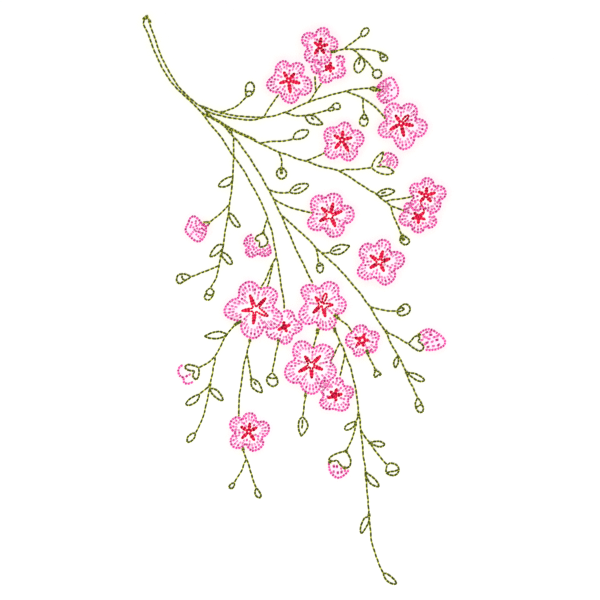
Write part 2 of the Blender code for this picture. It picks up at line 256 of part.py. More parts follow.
# the sixteen open blossoms: outline of the petals (sharp where two petals meet), centre, and the tips of the red star
BLOSSOMS = {
    "blossom_01": (
        "@275.3,74.3! 275.6,72 276,67 278,64 281,62 284,61 287,62.3 289,65 290,67.5! 291,66 293,64 297,63 301,64"
        " 303.5,67 304,70 302,74 300,77! 303,76.5 306,77 309,79 311,83 311.5,87 310.5,91 307.5,94 303,95 299.5,94"
        " 298,93.2! 298.5,96 297.5,99 295,102 291.5,103 287.5,102.3 284,100 282,97 281,94.5 281,92! 278,92.5 274,92"
        " 270,90 267.5,87 267,83 269,80 272,77.5",
        (288.5, 80.5), "283.5,71.5 295,73 300.5,83.5 290.5,93.5 279,83.5"),
    "blossom_02": (
        "@316,37! 316.3,33.5 317,31 320,28.5 324,28 327.5,29.5 329,33 328,36.5! 331,37 335,39 337.5,43 337.5,47"
        " 335,50 331,51 330.5,53.5! 331,56 330,59.5 328,62 324,64 320,63 317,60.5 316,59! 314.5,61.5 313,62.5 309,62"
        " 305.5,59 304.5,55 306,51 308.5,47.5! 305,46 302.5,43 302,39 303,36 306,33.5 310,33 314,34.5",
        (320, 46.5), "321,37.5 328.5,44.5 324.5,54 314.3,54.5 313.8,42"),
    "blossom_03": (
        "311.3,65 311.3,66.5 312,69.8 314,72.5 318,73.6 320.8,73.3! 319.6,76 319.5,79 321.5,82 325.5,82.7 330,81.5"
        " 333,79 333.8,77! 336,78 341,77.5 344.5,74 345.5,70.5 343.5,67 340.8,65! 343.3,63.6 344.5,61 343.5,57.5"
        " 341,56 338,56.6 335.5,57.8",
        (330, 67), "332,62 335.5,68.5 330.5,73.5 325,70.5 325.5,66"),
    "blossom_04": (
        "@387.5,120.5! 386,117 384.5,113 385.5,109 388,106 391,104 396,104 399.5,106.5 401,109.5! 402,108 404,105.5"
        " 408,104 412,104.3 416,107.5 417,111 416.5,115 414.5,119! 417,119 421,119.5 425,122 427,126.5 426.5,129.5"
        " 424,134 420,136.5 416,136.5 413.5,135.5! 414.5,139 413,143 411,146 408,148.5 403,149.5 399,147.5 396,143"
        " 394,139 394,136.5! 391,137 387,137.5 382,136.3 379,133.5 378.5,130 380,126 382,123.5 385.5,121.5",
        (401, 123.5), "395,114.7 409,115 414,125.8 404,137 389.5,130.3"),
    "blossom_05": (
        "@338,127! 339.5,125.3 342,123 345,122.5 349,124.5 351,128.5 350.5,130.5! 353,131 357.5,130.5 361,133"
        " 363.5,137.5 363.5,141 361.5,144.5 358,147 355.5,147.5! 357,150 357,154 354,158 350,160.7 346,160.5"
        " 342.5,158 340,153.5! 338,156.5 334,158.5 330,158.3 327,156 325,152.5 325,149 327,146 328.5,145! 326,142"
        " 324.3,137.5 324.5,132.5 327,129 331,127.5 335,128",
        (342, 140), "343,130.5 352.5,137.5 349,152 334.8,149 333.5,135"),
    "blossom_06": (
        "@313.6,213.9! 313.2,211.6 310.8,207.9 310.8,205.1 311.1,202.3 312.2,199.2 314.6,197.6 316.7,196 319.2,195.7"
        " 321.8,195.9 323.7,197.5 325.3,199! 326.9,196.2 329,194.6 331.6,193.6 335.3,193.9 338.4,195 341.4,198.1"
        " 341.9,200.2 341.6,203 340,206.5! 343.7,205.8 346.5,206 349.3,206.5 351.2,208.3 353.3,211.6 353.8,214.4"
        " 353.5,217.7 352.1,220.2 350.5,221.6 347.5,223.7 345.1,223.5 342.3,222.8! 343.5,225.6 344.2,229.3"
        " 342.3,232.4 340.2,235.2 338.1,236.1 334.4,237 330.9,237 328.6,234.9 326.5,232.6 325.1,230.5 324.1,227!"
        " 322.7,228.4 319.5,230.5 316,230.3 312.7,229.8 310.1,228.4 308.3,226.1 307.6,223.3 308.5,220 310.4,217.7"
        " 312.5,215.6",
        (330.3, 215), "321.1,207.4 333.2,202.5 342.6,211.1 335.6,227.2 319.2,221.6"),
    "blossom_07": (
        "@422,184.5! 422,181 423.3,179.1 425.7,178.6 428.4,178.1 431.1,179.4 433.2,182.1 433.7,184.7 434,187.4!"
        " 435.6,186.1 438,186.1 440.9,186.3 443.1,187.7 444.9,190.6 445.7,193.8 445.2,196.5 443.1,198.9 440.4,199.9"
        " 437.7,199.7! 439.9,201.3 440.4,204.5 439.9,207.7 438.5,210.1 436.4,211.4 433.5,213.3 430.3,212.2"
        " 427.3,210.6 424.4,207! 420.4,209 418.3,210.3 415.9,210.3 413.2,209 411.1,207.1 409.7,205 410,202.5"
        " 412.1,200.7 413.2,198.5 414.3,196.7! 411.1,193.8 410,191.1 409.7,188.5 411.1,186.3 413.2,184.2 415.9,183.7"
        " 418.5,183.7",
        (426, 195.5), "426.8,187.1 435.9,192.7 431.3,202.1 419.9,202.1 418,191.4"),
    "blossom_08": (
        "408,202.7 407.3,202.9 405.2,204.5 404.1,207.1 404.7,209.3 405.2,211.4! 403.1,213.3 400.7,215.1 399.6,217.5"
        " 399.1,219.9 400.1,222.1 402,224.2 404.7,225.5 407.3,225.8 410,225.2 412.1,224.7! 411.6,227.4 412.7,230.3"
        " 415.3,231.9 417.5,233 419.6,232.5 422.5,231.4 424.2,228.7 424.5,226! 426.5,227.4 429.7,228.2 432.4,227.1"
        " 434.5,225.8 436.4,222.6 436.1,219.9 434.5,217.3 432.9,215.7",
        (418.5, 217), "424.7,211.9 425.7,219.9 418.3,224.2 411.3,218.9 413.7,212.2"),
    "blossom_09": (
        "@364.4,261.4! 363,260.2 361.6,258.1 359.5,256.3 359.5,252.5 360.4,249.3 362.5,246 365.1,243.9 368.3,243.7"
        " 371.1,244.6 373.2,246 374.9,247.6! 376.3,244.1 377.9,242 380,240.4 382.3,239.7 385.1,240.4 387.5,241.6"
        " 389.3,243.7 390.3,246.5 389.8,249 389.3,252.5! 392.1,252.5 394,252.1 396.3,251.8 398.9,252.5 401.7,254.4"
        " 403.8,257.4 404.3,260.5 403.3,263.3 401.9,265.8 398.9,267.9 396.1,269.1 393.2,269.2! 394.7,272.1"
        " 395.4,275.4 394.2,278.7 392.1,281.5 389.3,283.6 386.3,284.5 384.2,285 381.9,283.8 379.8,282.4 378.2,280.4"
        " 376.7,278.7 375.3,276.3! 373,277.5 370.4,278.7 367.4,279.8 363.7,278.7 360.6,277 358.5,274.9 357.8,272.1"
        " 358.1,270.3 359,267.9 360.4,266.1 362.3,263.7",
        (379.4, 262), "369.7,255.1 383,250.4 390.5,258.6 384.2,271.9 369.7,268.4"),
    "blossom_10": (
        "@239.3,297! 239.1,293.3 239.3,290.5 239.8,287.9 241.6,285.8 243.7,283.9 245.8,282.8 248.6,281.8 252.1,282.1"
        " 254.9,283.2 256.6,285.3 258.2,287 259.4,289.3! 261.5,288.9 264.3,288 267.3,287.2 270,288 273.2,289.2"
        " 275.7,291.5 277.3,293.8 276.9,298 276.1,300.9 274,303.9 272.1,307! 274.6,308.3 278.5,311 281.2,313.4"
        " 282,315.9 282.3,318.8 281.4,321.2 279.6,324.2 277.2,327.2 273.6,328.4 270,329 266.4,328.4 264,326!"
        " 263.1,329 261.9,332 260.4,334.7 258,336.8 255,338.3 251.4,338 247.8,337.1 244.9,335.2 242.8,332.6"
        " 241.5,329.5 241,326 242,321! 239.5,321 236.4,320.4 233.1,319.5 230.4,318.3 228,317.4 225.6,315.3 224.4,312"
        " 225,309 225.6,306.3 227.7,304.2 229.8,301.8 232.3,300 234.8,299.1 237.4,298.8",
        (255.4, 309.3), "249.6,294.5 266.1,297.8 268.5,316.4 253.2,324.5 241.2,310.9"),
    "blossom_11": (
        "@295.5,359.8! 294.6,356.6 293.2,353.3 293.1,350 293.9,346.5 296.2,343.6 299,341.8 302,341.2 305.3,342"
        " 308.3,343.9 311,346.8 312.8,349! 315.8,347.4 319.4,345.4 323,344.5 326.4,345.5 329.4,347 331.8,349"
        " 333,351.8 333.6,355 332,358 329.6,361.8! 331.4,363.9 333.8,365.4 335.3,368.4 335.9,372 334.7,375.8"
        " 332.3,378.6 328.8,380.5 325,381.2 322.5,381.3 320.3,382! 320.9,384.4 320.2,387 319,390 317,392 313.2,393.8"
        " 309,393.5 305,391.3 302.9,389.5 301.4,387 300.7,384.5 301,382.2! 298.1,382.8 295.1,383.1 292.5,382.5"
        " 289.8,381.5 287.7,379.3 285.6,375.9 284.9,372.2 285.9,368.6 287.1,365.6 289.2,363.2 292.2,361.4",
        (311.4, 365.3), "304.5,355.7 320.9,355.4 323.1,369.8 311.7,378.7 298.2,372.2"),
    "blossom_12": (
        "335.6,379.4 336.8,378.2 339.2,378 342.2,379.8 343.4,382.8 342.8,385.8! 345.8,386.7 348.8,386.4 351.8,388.2"
        " 353.3,391.8 353,394.8 350.9,397.8 349.1,399 347,400.2! 348.2,402.6 348.8,405.6 347,408.6 344,410.4"
        " 341,410.7 337.4,410.4 334.4,408.6! 331.4,409.2 328.4,409.5 324.8,408.6 321.8,406.8 320,403.2 320,400.8"
        " 321.8,398.4 324.2,396.6! 322.4,393.6 321.2,391.4",
        (334.5, 396), "336.8,388.2 342.5,393.9 336.5,401.4 327.2,398.4 329.9,390.9"),
    "blossom_13": (
        "@306.9,303! 305.4,300 303.3,297 301.8,294.2 301.2,291 302.2,288 305.4,285.9 308.4,285 312,285 315.3,286.2"
        " 317.4,288.2 319.2,289.6! 321,286.5 323.4,284.1 326.4,282.6 329.4,282 333,282.9 336.6,285.3 338.4,288.9"
        " 338.4,293.1 337.2,295.8! 341.4,297 343.2,299.4 345.6,302.4 345.9,306 344.4,310 343.2,312.3 341,313.6"
        " 337.4,313.4 334.2,315.2! 334.3,318.5 336.2,321.3 335.3,323.6 333.9,326.4 330.3,328.9 326.4,330.2"
        " 323.4,329.6 319.8,328.2 317.7,325.4 317.1,323 316.2,321.3! 313.8,322.7 310.8,323.9 307.2,324.2 304.2,323.6"
        " 302.4,321.2 300,318.2 299.1,315.2 299.4,312.2 301.2,309.2 303.6,306.2",
        (322, 304.5), "314.7,296.4 326.4,292.8 333.6,305.1 325.5,317.3 312.7,313.4"),
    "blossom_14": (
        "@352.8,333! 354,329.6 355.2,327.4 358.2,326 361,325.4 364.4,326 366.6,327.9 367.2,331! 369.6,331.6"
        " 372.2,331.4 375.4,331.6 378,334 378.9,338 377.4,340.9 375.6,343! 376.7,345.5 377,348 375.2,350.8"
        " 372.8,352.4 370,352.4 368.6,350.4! 366.6,351.2 364.4,352.8 362.8,354 360,355.8 357.4,356.4 354.8,355.2"
        " 353.4,352.4 354,349.6! 350,347.2 348,345.6 346.4,343.4 346,340 346.3,337.2 348,334.8 349.8,333.4",
        (362, 340), "354.2,337.4 364.8,333.2 369.2,340.4 363.6,346.8 356,346.4"),
    "blossom_15": (
        "283,312.4 284.4,311 288,310.7 291.6,311.6 293.4,314.6 294.3,317.6 294.6,320.6! 297.6,321.2 300.6,323.6"
        " 302.1,327.2 301.2,330.2 298.8,332 295.2,333.2 292.2,334.4! 292.1,336.8 291.6,339.8 289.2,342.2 286.2,343.7"
        " 283.2,344 281.4,342.5 280.5,340.4 279,338! 277.2,338.9 273.6,339.2 270,338 267.6,335.6 266.4,332.6"
        " 266.6,330.6",
        (284, 327), "283.8,321.2 290.7,324.8 287.1,332.3 277.5,330.2"),
    "blossom_16": (
        "@236.5,433! 233,431.3 230.7,428 229.8,424.9 230.7,421.4 232.8,419.1 236,417.3 239,417.2 241,418.6"
        " 242.6,420.6! 243.2,417.2 245.2,414.7 248.5,413.3 251,413.2 253.2,414.1 255.4,416.8 255.6,419.5 256.1,422.8!"
        " 259.4,422 261.5,421.5 264.3,421.6 267,423.6 268.6,425.8 269.1,428.8 268.3,432.2 266.7,434.8 264.2,436.7"
        " 261,437.8! 262.6,440 263.3,443.3 261.7,446.7 259,449 255.7,450.7 252.3,451 249.7,449.3 247.7,446.7"
        " 246,443.3! 243.5,446 241.2,447.6 238.4,448.4 235.7,448 233,446.8 230.9,444.2 230.4,441 231.3,437.8"
        " 233.6,435.1",
        (248.8, 431.8), "249.8,422.5 257.5,427.1 254.7,440.8 241.3,438.7 240.4,426.3"),
}

# the seven closed or half open buds in pink
PINK_BUDS = {
    "bud_right_of_top": "@377.9,86.2! 380,83.7 383.3,81 387.3,79 390.4,77.4 392.8,78.8 394.7,81.5 396.2,85 398,88"
                        " 398.3,91 398,94 396.5,96.8 394.3,98.8 391.2,99.6 389.4,100.8 387.4,102.4 385,103.2 382,102.4"
                        " 380.2,99.8 378,97 376.8,94 378.2,92.9! 380.4,91.2! 379.6,88.8",
    "bud_in_sepals": "385.1,154.6 386.6,152.8 389,153.1 391.8,154.4 394.8,156.2 396.6,158.4 397.4,161.2 397.5,164"
                     " 395.8,166.6 393.6,168.2",
    "bud_left": "@193,215.8 195.6,217.5 198.3,219.2 200.2,221.6 200.8,224.6! 203.5,225.6! 206.2,227.2 206.3,229.7"
                " 205.7,233.7 203.8,237.5 201.2,241 197.8,241.8 194.6,240.4 191.9,238.2 189.5,236.3 187.8,233.9"
                " 186,232 184.8,229 186.4,226.4 188.3,223.7 189,220 190.8,217.7",
    "half_open_left": "252.4,234.9 250,235.5 247.6,236.6 245.8,239 244.6,241.6 243.9,244 245.4,246.1 247.8,246.6"
                      " 250,247.6! 246.6,249 245.4,252.4 247.5,255.1 249.6,256.9 252.6,256.9 255.6,255.7 258.6,253!"
                      " 260.4,255.4 263.4,256.2 266.4,256 269.4,254.5 271.5,252.4 269.4,249.4! 270.9,247.4 270.2,245.6",
    "bud_far_right": "419.8,333.4 421.2,332 423.2,330.6 426.2,329.7 428,328.8 430.4,329.4 433.4,330.6 435.8,332.4"
                     " 437.9,333.9 440.3,335.4 442.4,337.5 444.2,339 445.4,342.6 444.8,345 442.4,346.8 439.4,348.3"
                     " 435.8,349.5 431,350.1 426.2,350.1 425.2,349.9",
    "bud_lower_left": "182.9,365.4 181.6,365.7 179.4,366.9 178.5,369.6 178.5,372.9 179.7,376.2 182.4,377.1 184.4,378!"
                      " 183.3,380.4 183.6,382.5 185.7,383.7 188.7,383.7 191.1,382.7 193.2,381.8",
    "bud_low": "328.8,462.4 329,465.2 329.2,468.2 330.1,471.2 331.6,473.9 334,476.3 337.3,478.1 340.6,477.5"
               " 343.3,475.7 346,473.6 348.1,470.9 348.6,469.8",
}


def drawn(text):
    """A path as (closes on itself, [(u, v), ...])."""
    closed = text.startswith("@")
    points = []
    for word in text.lstrip("@").split():
        u, v = word.rstrip("!").split(",")
        points.append((float(u), float(v)))
    return closed, points


def fewer(points, within):
    """The points a straight-sided line needs to stay this close to all of them."""
    if len(points) < 3:
        return points
    a, b = Vector(points[0]), Vector(points[-1])
    along = b - a
    best, where = 0.0, 0
    for i in range(1, len(points) - 1):
        p = Vector(points[i])
        if along.length > 1e-9:
            t = max(0.0, min(1.0, (p - a).dot(along) / along.length_squared))
            off = (p - (a + along * t)).length
        else:
            off = (p - a).length
        if off > best:
            best, where = off, i
    if best <= within:
        return [points[0], points[-1]]
    return fewer(points[: where + 1], within)[:-1] + fewer(points[where:], within)


def thinned(closed, points, within=STRAIGHT):
    if not closed:
        return fewer(points, within)
    half = len(points) // 2
    first = fewer(points[: half + 1], within)
    second = fewer(points[half:] + points[:1], within)
    return first[:-1] + second[:-1]


def place(u, v):
    """The drawing's point on the cloth."""
    return (u - CENTRE) * UNIT * MM, (CENTRE - v) * UNIT * MM


def material(name, colour, roughness, metallic=0.0):
    m = bpy.data.materials.new(name)
    m.use_nodes = True
    shader = m.node_tree.nodes["Principled BSDF"]
    shader.inputs["Base Color"].default_value = (*colour, 1.0)
    shader.inputs["Roughness"].default_value = roughness
    shader.inputs["Metallic"].default_value = metallic
    return m


parts = bpy.data.collections.new("embroidered_cloth")
bpy.context.scene.collection.children.link(parts)


def keep(obj, name, colour, roughness):
    obj.name = name
    obj.data.name = name
    obj.data.materials.clear()
    obj.data.materials.append(material(name, colour, roughness))
    for c in list(obj.users_collection):
        c.objects.unlink(obj)
    parts.objects.link(obj)
    return obj


def cord(closed, points, z, radius=THREAD_R, flat=THREAD_FLAT):
    """A flattened cord along a path given in metres, as a mesh object with its middle at height z."""
    curve = bpy.data.curves.new("cord", "CURVE")
    curve.dimensions = "3D"
    curve.twist_mode = "Z_UP"
    curve.bevel_depth = radius
    curve.bevel_resolution = 0
    curve.use_fill_caps = True
    spline = curve.splines.new("POLY")
    spline.points.add(len(points) - 1)
    for p, (x, y) in zip(spline.points, points):
        p.co = (x, y, 0.0, 1.0)
    spline.use_cyclic_u = closed
    guide = bpy.data.objects.new("cord", curve)
    bpy.context.scene.collection.objects.link(guide)
    ready = guide.evaluated_get(bpy.context.evaluated_depsgraph_get())
    mesh = bpy.data.meshes.new_from_object(ready)
    bpy.data.objects.remove(guide)
    body = bmesh.new()
    body.from_mesh(mesh)
    bmesh.ops.remove_doubles(body, verts=body.verts, dist=1e-6)
    bmesh.ops.scale(body, vec=(1.0, 1.0, flat), verts=body.verts)
    bmesh.ops.translate(body, vec=(0.0, 0.0, z), verts=body.verts)
    bmesh.ops.recalc_face_normals(body, faces=body.faces)
    body.to_mesh(mesh)
    body.free()
    obj = bpy.data.objects.new("cord", mesh)
    bpy.context.scene.collection.objects.link(obj)
    return obj


def sewn(text, z, **more):
    closed, points = drawn(text)
    return cord(closed, [place(*p) for p in thinned(closed, points)], z, **more)


def joined(pieces):
    """One body made of all the pieces, each of which meets another."""
    first, rest = pieces[0], pieces[1:]
    if not rest:
        return first
    for other in rest:
        cut = first.modifiers.new("join", "BOOLEAN")
        cut.operation = "UNION"
        cut.solver = "MANIFOLD"  # lines that run into each other at a fine angle leave the exact solver's result open
        cut.object = other
        ready = first.evaluated_get(bpy.context.evaluated_depsgraph_get())
        mesh = bpy.data.meshes.new_from_object(ready)
        first.modifiers.clear()
        first.data = mesh
        bpy.data.objects.remove(other)
    return first


# the cloth with its turned hem: a plate with rounded corners, sunk inside the hem
body = bmesh.new()
bmesh.ops.create_cube(body, size=1.0)
bmesh.ops.scale(body, vec=(SIDE, SIDE, HEM_HEIGHT), verts=body.verts)
bmesh.ops.translate(body, vec=(0, 0, HEM_HEIGHT / 2), verts=body.verts)
upright = [e for e in body.edges if abs(e.verts[0].co.z - e.verts[1].co.z) > HEM_HEIGHT / 2]
bmesh.ops.bevel(body, geom=upright, offset=CORNER, segments=3, profile=0.5, affect="EDGES")
bmesh.ops.recalc_face_normals(body, faces=body.faces)
mesh = bpy.data.meshes.new("ground_cloth")
body.to_mesh(mesh)
body.free()
cloth = bpy.data.objects.new("ground_cloth", mesh)
keep(cloth, "ground_cloth", (0.94, 0.94, 0.93), 0.85)

cutters = bpy.data.collections.new("cutters")
bpy.context.scene.collection.children.link(cutters)
bpy.ops.mesh.primitive_cube_add(size=1.0, location=(0, 0, CLOTH + HEM_HEIGHT))
inside = bpy.context.object
inside.name = "inside_of_hem"
inside.scale = (SIDE - 2 * HEM_WIDTH, SIDE - 2 * HEM_WIDTH, 2 * HEM_HEIGHT)
for c in list(inside.users_collection):
    c.objects.unlink(inside)
cutters.objects.link(inside)
inside.hide_render = True
inside.display_type = "WIRE"
sink = cloth.modifiers.new("sink", "BOOLEAN")
sink.operation = "DIFFERENCE"
sink.solver = "EXACT"
sink.object = inside

# the seam that holds the hem
half = SIDE / 2 - HEM_SEAM
turn = 0.6 * MM
ring = []
for k in range(4):
    for j in range(3):
        a = math.pi / 2 * k + math.pi / 4 * j
        cx = (half - turn) * (1 if k in (0, 3) else -1)
        cy = (half - turn) * (1 if k in (0, 1) else -1)
        ring.append((cx + turn * math.cos(a), cy + turn * math.sin(a)))
LOW = THREAD_R * THREAD_FLAT
keep(cord(True, ring, HEM_HEIGHT + GAP + LOW, radius=0.3 * MM), "hem_seam", (0.90, 0.90, 0.89), 0.6)

LEVEL = CLOTH + GAP + LOW

# the stems, twigs, leaves and closed green buds
for name, paths in GREEN.items():
    pieces = []
    for i, text in enumerate(paths):
        # lines that cross lie a hair above one another, and one is a little fuller than the next
        pieces.append(sewn(text, LEVEL + 0.017 * MM * (i % 5), radius=THREAD_R * (1 + 0.023 * (i % 3))))
    keep(joined(pieces), "green_" + name, (0.22, 0.26, 0.05), 0.45)

# the petals' outlines
for name, (outline, _, _) in BLOSSOMS.items():
    keep(sewn(outline, LEVEL), name + "_petals", (0.78, 0.16, 0.42), 0.45)


def star(name, centre, tips):
    """Five narrow arms round an open middle, as a flat outline with a hole."""
    _, ends = drawn(tips)
    cu, cv = centre
    spokes = sorted((math.atan2(v - cv, u - cu), math.hypot(u - cu, v - cv)) for u, v in ends)
    outer = []
    for i, (angle, reach) in enumerate(spokes):
        after, reach2 = spokes[(i + 1) % len(spokes)]
        if after <= angle:
            after += 2 * math.pi
        side = 0.75 / reach
        outer.append((angle - side, reach))
        outer.append((angle + side, reach))
        outer.append(((angle + after) / 2, 3.1 if (after - angle) < 2.0 else 3.6))
    middle = [(2 * math.pi * k / 5, 1.25) for k in range(5)]
    curve = bpy.data.curves.new(name, "CURVE")
    curve.dimensions = "2D"
    curve.fill_mode = "BOTH"
    curve.extrude = STAR_THICK / 2
    for loop in (outer, middle):
        spline = curve.splines.new("POLY")
        spline.points.add(len(loop) - 1)
        for p, (a, r) in zip(spline.points, loop):
            x, y = place(cu + r * math.cos(a), cv + r * math.sin(a))
            p.co = (x, y, 0.0, 1.0)
        spline.use_cyclic_u = True
    obj = bpy.data.objects.new(name, curve)
    obj.location.z = CLOTH + GAP + STAR_THICK / 2
    bpy.context.scene.collection.objects.link(obj)
    return obj


for name, (_, centre, tips) in BLOSSOMS.items():
    keep(star(name, centre, tips), name + "_star", (0.72, 0.01, 0.05), 0.4)

# the half open and closed buds in pink
for name, text in PINK_BUDS.items():
    keep(sewn(text, LEVEL), name, (0.80, 0.16, 0.44), 0.45)
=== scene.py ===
import math

import bpy
import numpy as np
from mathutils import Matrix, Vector


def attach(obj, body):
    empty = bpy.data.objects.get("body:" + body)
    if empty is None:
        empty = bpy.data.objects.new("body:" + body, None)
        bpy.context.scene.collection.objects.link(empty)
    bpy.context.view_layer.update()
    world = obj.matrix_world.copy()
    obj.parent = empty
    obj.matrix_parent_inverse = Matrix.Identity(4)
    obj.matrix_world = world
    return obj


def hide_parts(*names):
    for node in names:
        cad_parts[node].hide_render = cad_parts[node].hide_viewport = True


# White cloth with a hanging spray of blossom in line stitch. Every stitch is a length of thread that comes up out of
# the cloth, lies on it and goes down again, and every CAD run of stitching is replaced by its own stitches.

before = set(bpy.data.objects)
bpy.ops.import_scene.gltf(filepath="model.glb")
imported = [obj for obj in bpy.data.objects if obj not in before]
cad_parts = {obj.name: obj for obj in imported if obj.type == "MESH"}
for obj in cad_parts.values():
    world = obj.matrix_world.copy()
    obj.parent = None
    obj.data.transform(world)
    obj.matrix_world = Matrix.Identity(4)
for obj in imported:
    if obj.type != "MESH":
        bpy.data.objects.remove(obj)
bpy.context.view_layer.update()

MM = 0.001
SIDE = 300.0               # mm, as all the numbers below
FACE = 0.5                 # height of the cloth's face
BACK = 0.2                 # height of its back, away from the hem
HEM_FACE = 1.1
HEM_WIDTH = 8.0
HEM_SEAM = 6.4
dice = np.random.default_rng(7)

# Drawing units: u to the right and v down, 600 units across the drawing's square; one unit is UNIT mm.
# A point that ends in ! is a sharp corner. A path that starts with @ closes on itself.
UNIT = 0.44
CENTRE = 300.0

